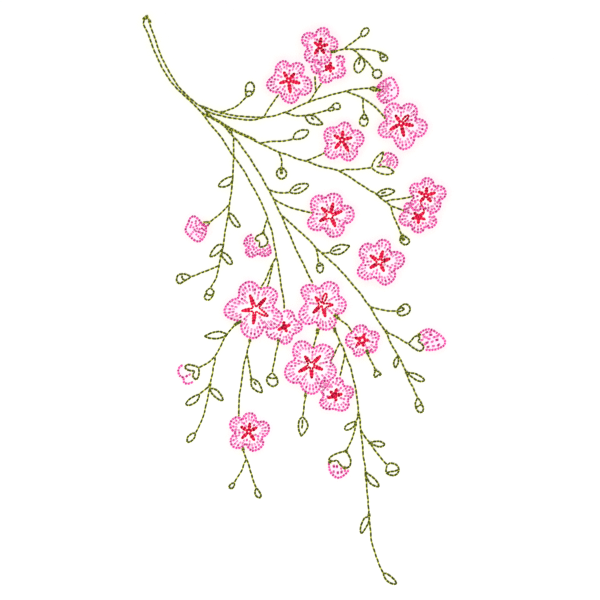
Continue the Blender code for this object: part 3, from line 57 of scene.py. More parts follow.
# green runs, one network for each piece of line stitching that hangs together
GREEN = {
    "spray": [
        "148.5,18.5! 147,17.2 144,19.5 143,22.9 145.2,28 147.3,32.5 149.1,37 151.2,42.7 153.3,48.4 155.4,53.2 157.5,58"
        " 160.2,63.7 162.6,69.1 165,72.7 167.7,76.9 171,82 174.6,85.9 178.2,90.4 182.4,93.7 185.7,97 189,100 193,103.7"
        " 197,107.7 200.5,111.3 204,115.5 207.5,120.5 211.5,126 215,129.7 218,133.3 221.8,138.2 226,145 229.5,150.5"
        " 232,154.5 235,158.6 237.4,161.6 240.4,165.8 243.4,170.3 247,175.7 249.4,180.8 252.1,185.3 255.1,190.4"
        " 258.1,196.4 260.5,201.2 262.9,206.6 265,211.4 267,216.2 267.2,220.3 268.6,221.6 270.1,226.4 271.9,231.2"
        " 272.8,236.6 273.7,240.8 274.4,246 275.4,250 276.3,254 276.3,257.5!",
        "276.3,257.5! 277.8,261.4 278.1,265 279,269.2 279.3,272.8 280.2,277 280.5,282.4 281.1,286.6 281.7,289.6"
        " 282.6,293.2 283.5,298 284.1,302.8 284.1,309",
        "276.3,257.5! 274.5,259.5 273.3,262.6 271.8,266.2 270.9,268.3 269.1,271.3 267,276.4 265.2,280.6 262.8,284.8"
        " 261.2,287",
        "271.8,266.2 271.5,271.6 270,276.4 269.1,281.8 267.8,285",
        "267,219.8 266,222 265.3,225.2 264.1,229.4 263.2,233",
        "@263.2,233! 259,234.8 256,236.6 254.6,238.9 256,241 259.8,241.3! 259.3,243.5 259.2,247.3! 262.8,247"
        " 265.8,245.8 268.2,243.1 267.9,240.4 265.6,236",
        "148.5,18.5! 149.3,22.9 150.7,26.2 151.5,29.8 153.3,34 155.1,38.8 156.9,43.9 158.4,49.3 160.8,55.3 162.9,60.4"
        " 166.2,66.1 168.6,71.2 171.9,76.3 174.9,81.4 178.2,86.2 182.4,91 186,94.6 190.2,98.6 194.6,102.2 199,105.5"
        " 203,107.2 206.5,108.2 210,109.3 213.3,110.9 217,112.1 221.5,112.7 226.5,114.3 232,115.5 237,116 243,116.5"
        " 250,117 256,117.5 264,117.3 270,117 275,115.8 280,114 285,112.5 290,111 295,108 300,105.8 305,103.5"
        " 308,102.3 312,101 316,99.5 322,98 328,96 334,94.3 340,92.8 346,91.3 349,90.5 354,89.5 359,89.2 364,88.7"
        " 367,88.3 369,88.6",
        "203,107.2 204.7,110 207.5,111.5 210,112.6 213,113.6 216.5,114.9 219.5,115.6 222,116.2 225,117 229.5,117.9"
        " 235,118.7 240,119.3 245,120 251,120.5 256,119.5 260,118.6 264,117.3",
        "204.7,110 207,113 209.8,114.8 213,118.8",
        "221.5,112.7 225,111.4 230,109.5 235,107.3 239,104.5 243,100.5 246.3,97",
        "@246.3,97 245.8,93 245.5,87 247,84 249.5,82 252,82.3 254,85 254.3,88.5 253.5,92 252,94.7 249.5,96.7",
        "264,117.3 268,109.5 272,104 276,98 279,94.5",
        "308,102.3 311,99 313.5,95.5 316,91 318.5,87.5 320.8,84.5",
        "316,91 315.3,84 315,79 314.9,76",
        "346,91.3 350,93.5 355,95 360,97 363,98.5 367,101.2 371,104 375,107 379,111 382,114.5 383.9,116.8",
        "363,98.5 362.7,102 363,107 363.5,111 364.3,114.3",
        "@364.3,114.2 366.5,115.2 367.3,117.2 366.3,119.2 364.4,119.9 362.4,119 361.7,117 362.6,115",
        "362.1,116 359.5,120 360,124.5 363,127 367,125.5 368.5,122 367.2,117.4",
        "@369,88.6! 371,87.2 374.5,87 376.4,88.3 377.9,90.7! 375.6,91.4 372.3,90.4",
        "285,112.5 287,113.8 291,114.8 295,115.8 300,116 305,115.5 310,115 315,113.8 319,112.6 323,111.3 327.3,110.3",
        "@305,115.6! 306.8,121 310,123.2 314,124.8 319,125 323.3,124.5! 319.5,120.5 316,117 312,115.4",
        "@327.3,110.3! 329,108 331.5,106.5 333,107.5 335,109.5! 333,110.8 329.5,111.2",
        "331.5,106.5 333,104.5 336.5,102.5 340,104 341.5,107 339.5,109.5 336,110.2 335,109.5",
        "201.5,112.4 204.2,114.4 207.3,116.6 210,117.5 213,118.8 217,121.3 219.5,122.5 222.5,124.7 225.7,126.8"
        " 228.5,127.7 231,129.5 234,131 239,133.7 244,136 249,138 253,140 258,142.5 262,144.5 267,146.5 272,149"
        " 276,151 279,152.7 284,153.5 288,155 292,156.5 297,158.8 301,160.2 306,161 311,163 316,165 321,166.7"
        " 327,168 332,169 337,170.3 340,171 343,173.5 347,175.5 351,178 355,181 360,184 365,187 370,190.6"
        " 373.2,192.2 376.7,194.1 379.1,196.5 381.7,199.1 385.5,201.8 389.2,204.2 390.8,206.2!",
        "225.7,126.8 226.5,129.3 229,132 232,135.5 234,137.5!",
        "234,137.5! 233.3,143 233.7,148 234,151 233.5,157 233.3,163 233.3,170 232.8,176 232.7,180 232,185 231.7,190"
        " 231,196 229.8,201 229.2,205 229,210 228.6,214 227,219 226.7,223.5 226,228 225,233 224,240 223.3,245"
        " 222.5,250 221.2,256 219.9,261.1 219,265.7 218.3,269.9 217.4,273.7 216.2,276.9 215,281.1 212.9,283.9"
        " 211.1,286.7 210.3,288.2",
        "234,137.5! 236.5,139.5 240,144.5 244,150.5 250,158 254.8,166.4 260.8,175.4 263.2,180.2 265.6,184.7"
        " 268.6,189.8 271,194 273.4,199 275.2,203 277.3,207.8 279.4,211.7 281.4,215.5!",
        "273.4,199 276.4,200.9 281.8,203.6 286.6,206.3 292,208.1 297.4,209.6 302.8,210.8 307.6,212.3 311,212.9",
        "231,129.5 231.6,132 232,135.5",
        "268.6,189.8 271,190.7 274.6,191.9 278.8,192.8 284.2,193.2 289.6,192.6",
        "@289.6,192.6! 291.4,189.2 293.5,186.8 296.8,184.8 300.1,184.1 304,183.5 306.7,183.7 308.8,184.4! 307.3,187.4"
        " 304,190.4 300.4,192.8 296.8,193.6 292.6,193.4",
        "281.4,215.5! 283.9,221.6 286,227 287.8,230.6 289.3,233.6 291.1,238.4 292.8,242.2 295.5,249.1 297.9,253.6"
        " 300.6,258.7 303.3,264.4 306,269.8 308.4,275.2 310.8,279.7 312.7,283.2",
        "281.4,215.5! 286.6,219.5 290.5,223.4 294.4,227 298.6,230.9 302.2,233.9 306.1,237.5 310,241.4 313.5,245.4"
        " 315.9,248.1 319.5,250.8 321.6,253 325.2,256.2 328.8,259.5 331.8,262.5 336,266.1 340.2,270.6 344.4,274.8"
        " 347.4,278.4 351,282.6 354.6,287.1 357.6,290.4 360.6,294 363,297.3 365.4,300.9 367.2,303.6 369.6,306.5"
        " 372.2,310.8 374.9,315.6 377.9,320.4 380.9,324.3 383,327.9 386,332 388.1,337.8 390.8,343.2 393.2,347.7"
        " 395.6,351.6 397.7,355.5 400.4,359.4 402.2,363.6 404,367.8 406.5,372.6 407.4,376.2 408.9,379.8 410.7,383.7"
        " 412.8,387 414,390.6 415.8,394.2 417.3,397.4",
        "315.9,248.1 317.2,253.8 318,258.6 318.6,262.9",
        "@318.6,263! 317.1,264.8 316.5,268.2 317.1,270.9 320.1,273.3 322.5,271.5 323.7,268.2 323.1,265.2 321,263.3",
        "321.6,253 325.8,252.9 330,252.6",
        "@330,252.6! 331.2,249.3 333.6,247.2 337.2,245.4 341.4,244.5 345.6,245.1 350.1,245.7! 347.4,248.7 344.7,251.4"
        " 342,253.5 338.1,254.7 334.2,254.4",
        "369.6,306.5 374,307.8 379.4,309.3 384.8,310.5 390.2,310.9 396.6,311.2",
        "@396.6,311.2! 398,309 401,306.6 403.4,304.5 406.4,303.6 408.8,305.4 410.3,309 409.7,312 407,314.4"
        " 403.4,315.9 400.4,316.2 398,314.7",
        "386,332 389.6,333.6 394.4,336 399.2,338.7 403.4,341.4 408.2,343.8",
        "@408.2,343.8! 410.6,341.4 413,338.1 416.3,335.1 418.4,336 420.2,338.1 417.5,341.7! 420.2,343.2 422.9,344.1"
        " 424.1,347.1 423.2,349.5 420.8,351.3 418.4,351.3 416,349.8 412.4,347.4",
        "@397.7,356! 395.9,358.2 394.1,360.6 393.5,363 393.8,365.7 395.5,368.4! 396.8,365.7 397.9,363.6 398.5,361.2",
        "@406.5,372.6! 409.2,372.9 412.5,372.9 416.4,374.1 420.6,376.5 423.6,378.6 425.1,380.4! 421.2,381.9"
        " 417.9,381.3 414.9,379.5 412.2,377.1 409.5,375",
        "@417.3,397.4! 418.8,399.6 420.6,401.7 421.8,404.4 423,406.8 423.6,409.5 423,411.9 420.6,413.1 418.2,411.9"
        " 416.4,409.2 415.2,405.6 415.5,402.6 416.4,399.9",
        "260,143.4 263.5,142.7 268,142 274,141.5 280,141.5 285,141 289,140 293.3,139.2",
        "@293.3,139.2! 293.8,135.5 296,132.5 299.5,130.5 304,130 308.7,130.3! 307.5,135 304,137.8 300,139.3"
        " 296.5,139.8",
        "279,152.7 280,155 281.5,159.2 282.1,162.8 281.5,167.2",
        "@281.5,167.3! 278.2,169.1 276.4,171.8 276.4,174.8 278.2,177.5 281.8,179.6 284.5,178.4 286.3,176 286.6,173.6"
        " 285.7,171.2 284.2,169.1",
        "306,161 311,159 316,157 321,155 322.8,154",
        "340,171 343,169.7 347,169.7 352,169.5 357,169.3 362,168.8 367,168.3 371.6,167.7",
        "371.6,167.7! 372.8,163.3 373.8,161 375.5,158.7 377.5,156 380,153.7 383.6,151.6! 382.9,154.5 382.2,157.5"
        " 381.3,160.4 379.5,162.7 378.2,163.7",
        "371.6,167.7! 373.5,169.6 375.7,171.6 378.6,173.1 382,174.1 386.5,174.7 391,174.4 394.4,172.4! 392,169.7"
        " 389.3,168 386.5,166.9 383.5,166.6 380,166.7 376.3,166.6",
        "@376.7,194.1! 378.3,192.2 380.7,190.9 382.8,189.5 387.6,188.7 391.3,189.5 395.3,191.1! 393.5,192.7"
        " 390.5,194.3 387.1,195.4 383.3,196.2 379.1,196.3",
        "385.5,201.8 387.6,201.2 389.7,200.5 394,199.7 398.8,199.1 403.6,198.6 407.9,197.5 411,196.8",
        "390.8,206.2! 394,206.9 399.1,209 402.6,210.2",
        "390.8,206.2! 391.3,209.3 392.9,214.6 395.1,219.4 397.2,224.2 399.1,229 401.6,235",
        "@401.6,235! 405.2,236.4 407.5,238.3 409.6,240.4 408.9,243.4 406.6,245.1 403.8,244.6 401.5,243 399.8,240.9"
        " 400.2,237.6",
        "@232.5,176.6! 229.5,177 226,178.5 222,181 219.5,184 218,186.5! 221,187.3 226,186.5 229,185 231,183.5"
        " 232.4,180.5",
        "229.2,204.6 226.5,207.5 222,212 217,216.5 213,219.5 210,222",
        "210,222 208.6,222.3 206.9,221.1 204.2,221.1 202.8,222.2",
        "210,222 209.2,223.8 208.3,225.3",
        "@228.7,212.6! 233.5,215.5 236.5,220 239.5,224 240.5,227! 237.5,227.5 234,225 231.5,221.5 229.3,216.5",
        "@223.3,245! 219,244.5 215.5,246.5 212.5,250.5 210.5,254 209.5,257! 213,256.5 217,254 220,251.5 222.5,249.5",
        "@222.1,252! 227,254.5 230,258 232,261 232.8,264! 229.5,264.5 226,261.5 223.5,258.5 221.4,256",
        "219,265.7 214,268 210,269.5 205,271.5 200,273.3 195,275.3 191,276.8",
        "@191,276.8! 187,274.8 182,274 178.5,274.8 176.5,277.5 176,280.5 178,283 180,284 183.5,281.5 187,279.5",
        "@210.3,288.2! 208,289.3 206.4,291.2 205.7,293.4 207.8,295.2 210.5,295.4 213,294.9 214.3,292.8 213.4,290.5"
        " 212,289",
        "205.7,293.4 204.5,295.5 204.1,297.5 204.5,299.5 206,300.8 208,300.3 210.5,299.2 212.5,297.3 213.7,294.6",
    ],
    "top_sprig": [
        "333.4,52.2 335.2,51.5 338,50.4 344,49.3 350,49.3 356,49.5 360,49.2 366,49.3 371,50 376,51.3 380,52.9 384,54.3"
        " 386,56",
        "@380.4,53.2 380,56.5 380.5,60 383.5,61.5 387,60.5 388,57.5 386,55.6 383,54",
        "344,49.3 347,46.5 352,43 356,40 359,37.5 361,36",
        "@361,36! 361,32.5 363.5,29.5 366.5,28 369,29! 368.5,32 366,35 363.3,36.8",
        "352.5,49.4 357,52.5 360,55 361,57",
        "@361,57! 356.5,60 354.5,64 354,69 356,72.5 358.5,73.5! 361.5,71 364,67.5 365,63.5 363.5,60",
        "361,57 366,61 370,65 372.5,68 374.2,70.6",
        "@374.2,70.6 377,69.4 380,70 381.8,72.5 381.6,75.5 380,77.5 377.6,78.9 375,78.1 373.2,76.4 372.4,74 373,71.9",
    ],
    "left_sprig": [
        "239.6,322.9 238.2,323.1 236.1,324.3 233.1,326.7 230.4,330.3 227.4,333.6 225.6,336 223.5,340.2 221.4,344.4"
        " 219.3,348.9 217.2,352.5 214.8,356.6!",
        "@226.9,334! 223.2,332.7 219.6,331.3 216,331.8 212.4,332.7 208.8,334.2 204,336.3! 208.2,337.8 212.4,338.6"
        " 217.2,338.7 221.4,338.1 224.9,336.1",
        "214.8,356.6! 212.4,359.1 208.2,362.7 204,365.1 201,366.9 198.6,368",
        "214.8,356.6! 215.3,360.5 214.2,364.2 212.9,368.4 212.7,372 211.8,376.2 210.8,380 210.5,382.2 209.9,385.5"
        " 209.5,390.4 208.4,393.4 207.8,397 207.2,401.2 206,404.8 205.1,408.4 204.5,412.6 203,416.8 201.2,421"
        " 199.4,425.8 197.6,429.4 195.5,433",
        "@195.5,433! 192.8,433 189.8,434.8 187.4,437.5 186.5,440.2 188,442.9 191,441.7 193.4,439.3 195.2,436.3",
        "209.7,385.8 207.2,387.4 204.2,390.4 200.6,393.1 199.6,394",
        "@199.6,394! 195.8,395.5 191.9,397.6 188.6,400 185.9,403 185.3,404.3! 188,405.7 191,404.8 194,403.6"
        " 196.4,401.8 198.5,398.8",
        "@209.8,388.6! 213.2,388.9 216.8,390.1 219.2,392.5 221,395.5 222.8,397.6 223.4,400.6! 221,400.6 217.7,399.4"
        " 214.7,396.7 212.3,394.3 210.5,391.3",
        "@198.6,368! 195.6,366 192,365.1 188.1,364.8 184.9,365.3 185,367.8 187.2,369.9 190.8,370.8 195,371.1!"
        " 193.8,373.2 192.6,375.3 193.5,378 195.9,380.1 197.7,378.6 198.6,376.2 198.9,372.6",
    ],
    "middle_left_stem": [
        "249.3,339.7 250.2,341.4 249.6,344.4 248.1,347.7 246.9,351 246.8,354.5!",
        "246.8,354.5! 245.4,357.6 244.8,361.8 243.3,366.6 243,371.4 242.4,375.6 241.5,379.8 241,384 240.4,389.4"
        " 239.3,394 239,398.2 239,403 238.7,407.2 238.7,412 238.7,415.2",
        "246.8,354.5! 247.8,357 248.4,361.2 249.3,366.6 250.2,372 250.8,377.4 251.6,379",
        "@251.6,379! 255.1,379.6 257,380.7 258.9,382.3 259.9,384.7 261,387.3 261.8,389.7 262.6,392.9! 259.1,392.4"
        " 255.7,390.5 253,388.7 251.1,386.3 250.9,383.1",
    ],
    "middle_stem": [
        "278.4,340.9 277.8,345.2 276.6,349.4 275.4,354.8 274.8,359.6 273.6,364.4 272.7,369.2 272.4,372.8",
        "@272.4,373! 270.6,374 268.5,375.6 266.6,377.7 266.6,380.7 267.7,383.6 269.8,385.7 272.5,386.8 275.4,386.3"
        " 277.3,384.4 278.3,382.3 277.3,379.3 275.7,376.7 274.1,374.8",
    ],
    "short_stem": [
        "319,330.4 317.6,332.2 317.1,334.6 316.2,337.4 314.7,342.8 313.6,346.2",
    ],
    "right_stem": [
        "336.5,316.3 338.5,318.3 340.4,320.2 342.8,322 346,324.4 348.4,326.4 350,328.8 351.1,330.9",
    ],
    "long_stem": [
        "334.6,330.2 336.2,333.6 338,337.2 340.1,342.4!",
        "340.1,342.4! 338.3,345.6 336.5,349.8 334.9,353.8 334.4,354.6",
        "340.1,342.4! 341.6,344.4 343.1,348 344.8,353!",
        "344.8,353! 344.3,355.8 343.7,360 342.8,364.2 341.9,369 341,372.6 340,376.2",
        "344.8,353! 346.8,358.8 348.6,363 350.4,367.2 351.6,372 352.8,377.4 354,381.6 355.2,387.6 356.1,393"
        " 357,397.8 357.3,401.4 357.9,405 358.2,410 358.5,416!",
        "358.5,416! 357.4,418 356.2,421.1 355.3,424.7 354.7,429.2 353.2,435.2 351.4,440.6 349,445.4 346.9,449.6"
        " 346,451.1",
        "@356.2,421.4! 353.2,422 350.8,422.9 347.8,424.4 345.4,426.2 344.2,428 345.1,430.4! 348.4,430.1 351.4,428.3"
        " 354.1,426.5",
        "@346,451.1! 342.4,451.7 338.8,452.9 335.8,453.8 332.2,455.6 329.5,457.7 328,459.5 330.4,461.3 334,461.3"
        " 337,460.1! 338.2,462.2 340,464.6 342.4,467 345.4,468.5 348.4,467.6 350.2,465.5 350.8,461.6 350.5,458.6"
        " 349,455.6 347.5,453.2",
        "358.5,416! 359.8,419 360.1,423.8 360.5,429.2!",
        "360.5,429.2! 362.8,433.7 365.2,437.6 367.6,440.6 370,443 372.1,446.6 375.1,450.8 378.4,454.7 381.4,458.9"
        " 385,462.8 387,465",
        "@370,442.9! 373,441.8 376.6,441.3 380.8,441.7 383.2,443 385.3,444.5! 383.2,446 380.2,446.9 376.6,446"
        " 373.6,445.1",
        "@387,465! 389.8,463.1 393.4,463.4 396.4,465.2 398.8,468.2 398.5,472.4 395.8,475.1 392.8,476 389.2,475.1"
        " 386.8,473.6 385.6,470.6 386.3,467.6",
        "360.5,429.2! 361.3,435.2 361.9,440.6 362.8,446 362.8,450.8 363.1,455.6 364,461 364.9,465.8 365.2,470.6"
        " 365.3,475.4 365.8,479.6 366.4,483.2 366.7,487.4 367,492.2 368,498 368,503.3 368.7,509.3 369,515.3"
        " 369.3,520 369.7,526 370.7,532 371,538 371.7,542.7 373,547.3 374.3,551.3 376,556 377.7,560.7 379.3,565.3"
        " 381.3,569.7 383,573",
        "@365.2,471.4! 368.2,474.2 372.4,476.9 375.7,479.9 377.8,483.2 379.3,487.1! 374.8,486.2 370.6,483.8"
        " 368.2,480.5 366,476",
        "@368.9,516.5! 365.7,517.3 363.7,519.3 361.7,523 360.7,526.7 360.3,530.7 361.3,534! 363.7,531 366,527.3"
        " 367.9,524 369,520",
        "@383,572.9! 384.7,572.7 388.3,575 392.7,578 395.3,580.7 397,583.7! 394.3,584.3 391.7,584 387,581 385,578.3",
    ],
    "bud_stem": [
        "367.2,353.2 367.6,354.9 369.8,358.2 372.2,363 374,367.2 375.6,370.6",
        "@375.6,370.6! 378.3,371.1 380.4,373.2 381.3,375 379.8,376.3 377.7,374.7! 377.3,377 374.8,377.8 373.9,376.2"
        " 374.4,373",
    ],
    "leaf_stem": [
        "305.8,393.9 305.6,396.4 305.3,399.3 304.7,402.5 303.9,405.2 304.2,408.4 303.4,412.1 302.6,416.5",
        "@302.6,416.7! 300.5,418.5 298.9,420.9 298.3,423.9 298.3,427.3 299.1,431.3 300.2,434 301,436.7! 303.1,434.3"
        " 306.3,430.3 307.9,427.1 307.7,423.9 306.3,421.2 304.7,418.8",
    ],
    "forked_stem": [
        "242.7,448.6 243.1,450 244,452.7 245.3,456 246.3,459.2!",
        "246.3,459.2! 244.3,463.5 242.7,468.7 241,472 238.7,475.7 236.3,479.3 234.3,482.7",
        "@234.3,482.7! 232.3,483 230,484.7 228.7,487.3 229.7,489 232,489 234,487",
        "246.3,459.2! 248.3,464 249.3,468 251,473 252.3,476.7 253,480.7 254.7,484.7 256.1,488",
        "@256.1,488! 258.7,491 261,494 261.7,496.3 259.3,498 256.7,497 255,494.3 255,490.7",
    ],
}

# short marks inside the leaves and buds: midribs and cups
GREEN_MARKS = [
    "246.2,92.5 249,91.2 252.9,92.5", "311,117.5 314,120", "293.5,190.7 298,189 301,187.4", "317.5,266.2 321.5,265.8",
    "332.4,251.4 336,250.2 340.8,249", "397.7,309.6 401,307.2 404,307.5 404.6,309 402.8,310.8 400.4,311.7 397.5,311.5",
    "416,407.4 417.6,406.2 420,405.3 421.8,404.5", "281.5,167.5 281.8,173", "380.9,193.5 386,192.2",
    "401,236.7 403.8,238.5 402.9,240.4", "182,275.5 181.5,277 182.5,279 184.5,280", "381.5,57.5 385,57",
    "360.5,58.5 359,62 358.5,65", "253.8,381.7 256.2,385.2", "268,377.2 271.7,378.8 276,378.3",
    "386.8,473 389.8,471.5 392.8,471.2 395.8,471.2 398.2,470", "302.3,419.6 302.6,424.9 301.8,428.7",
]

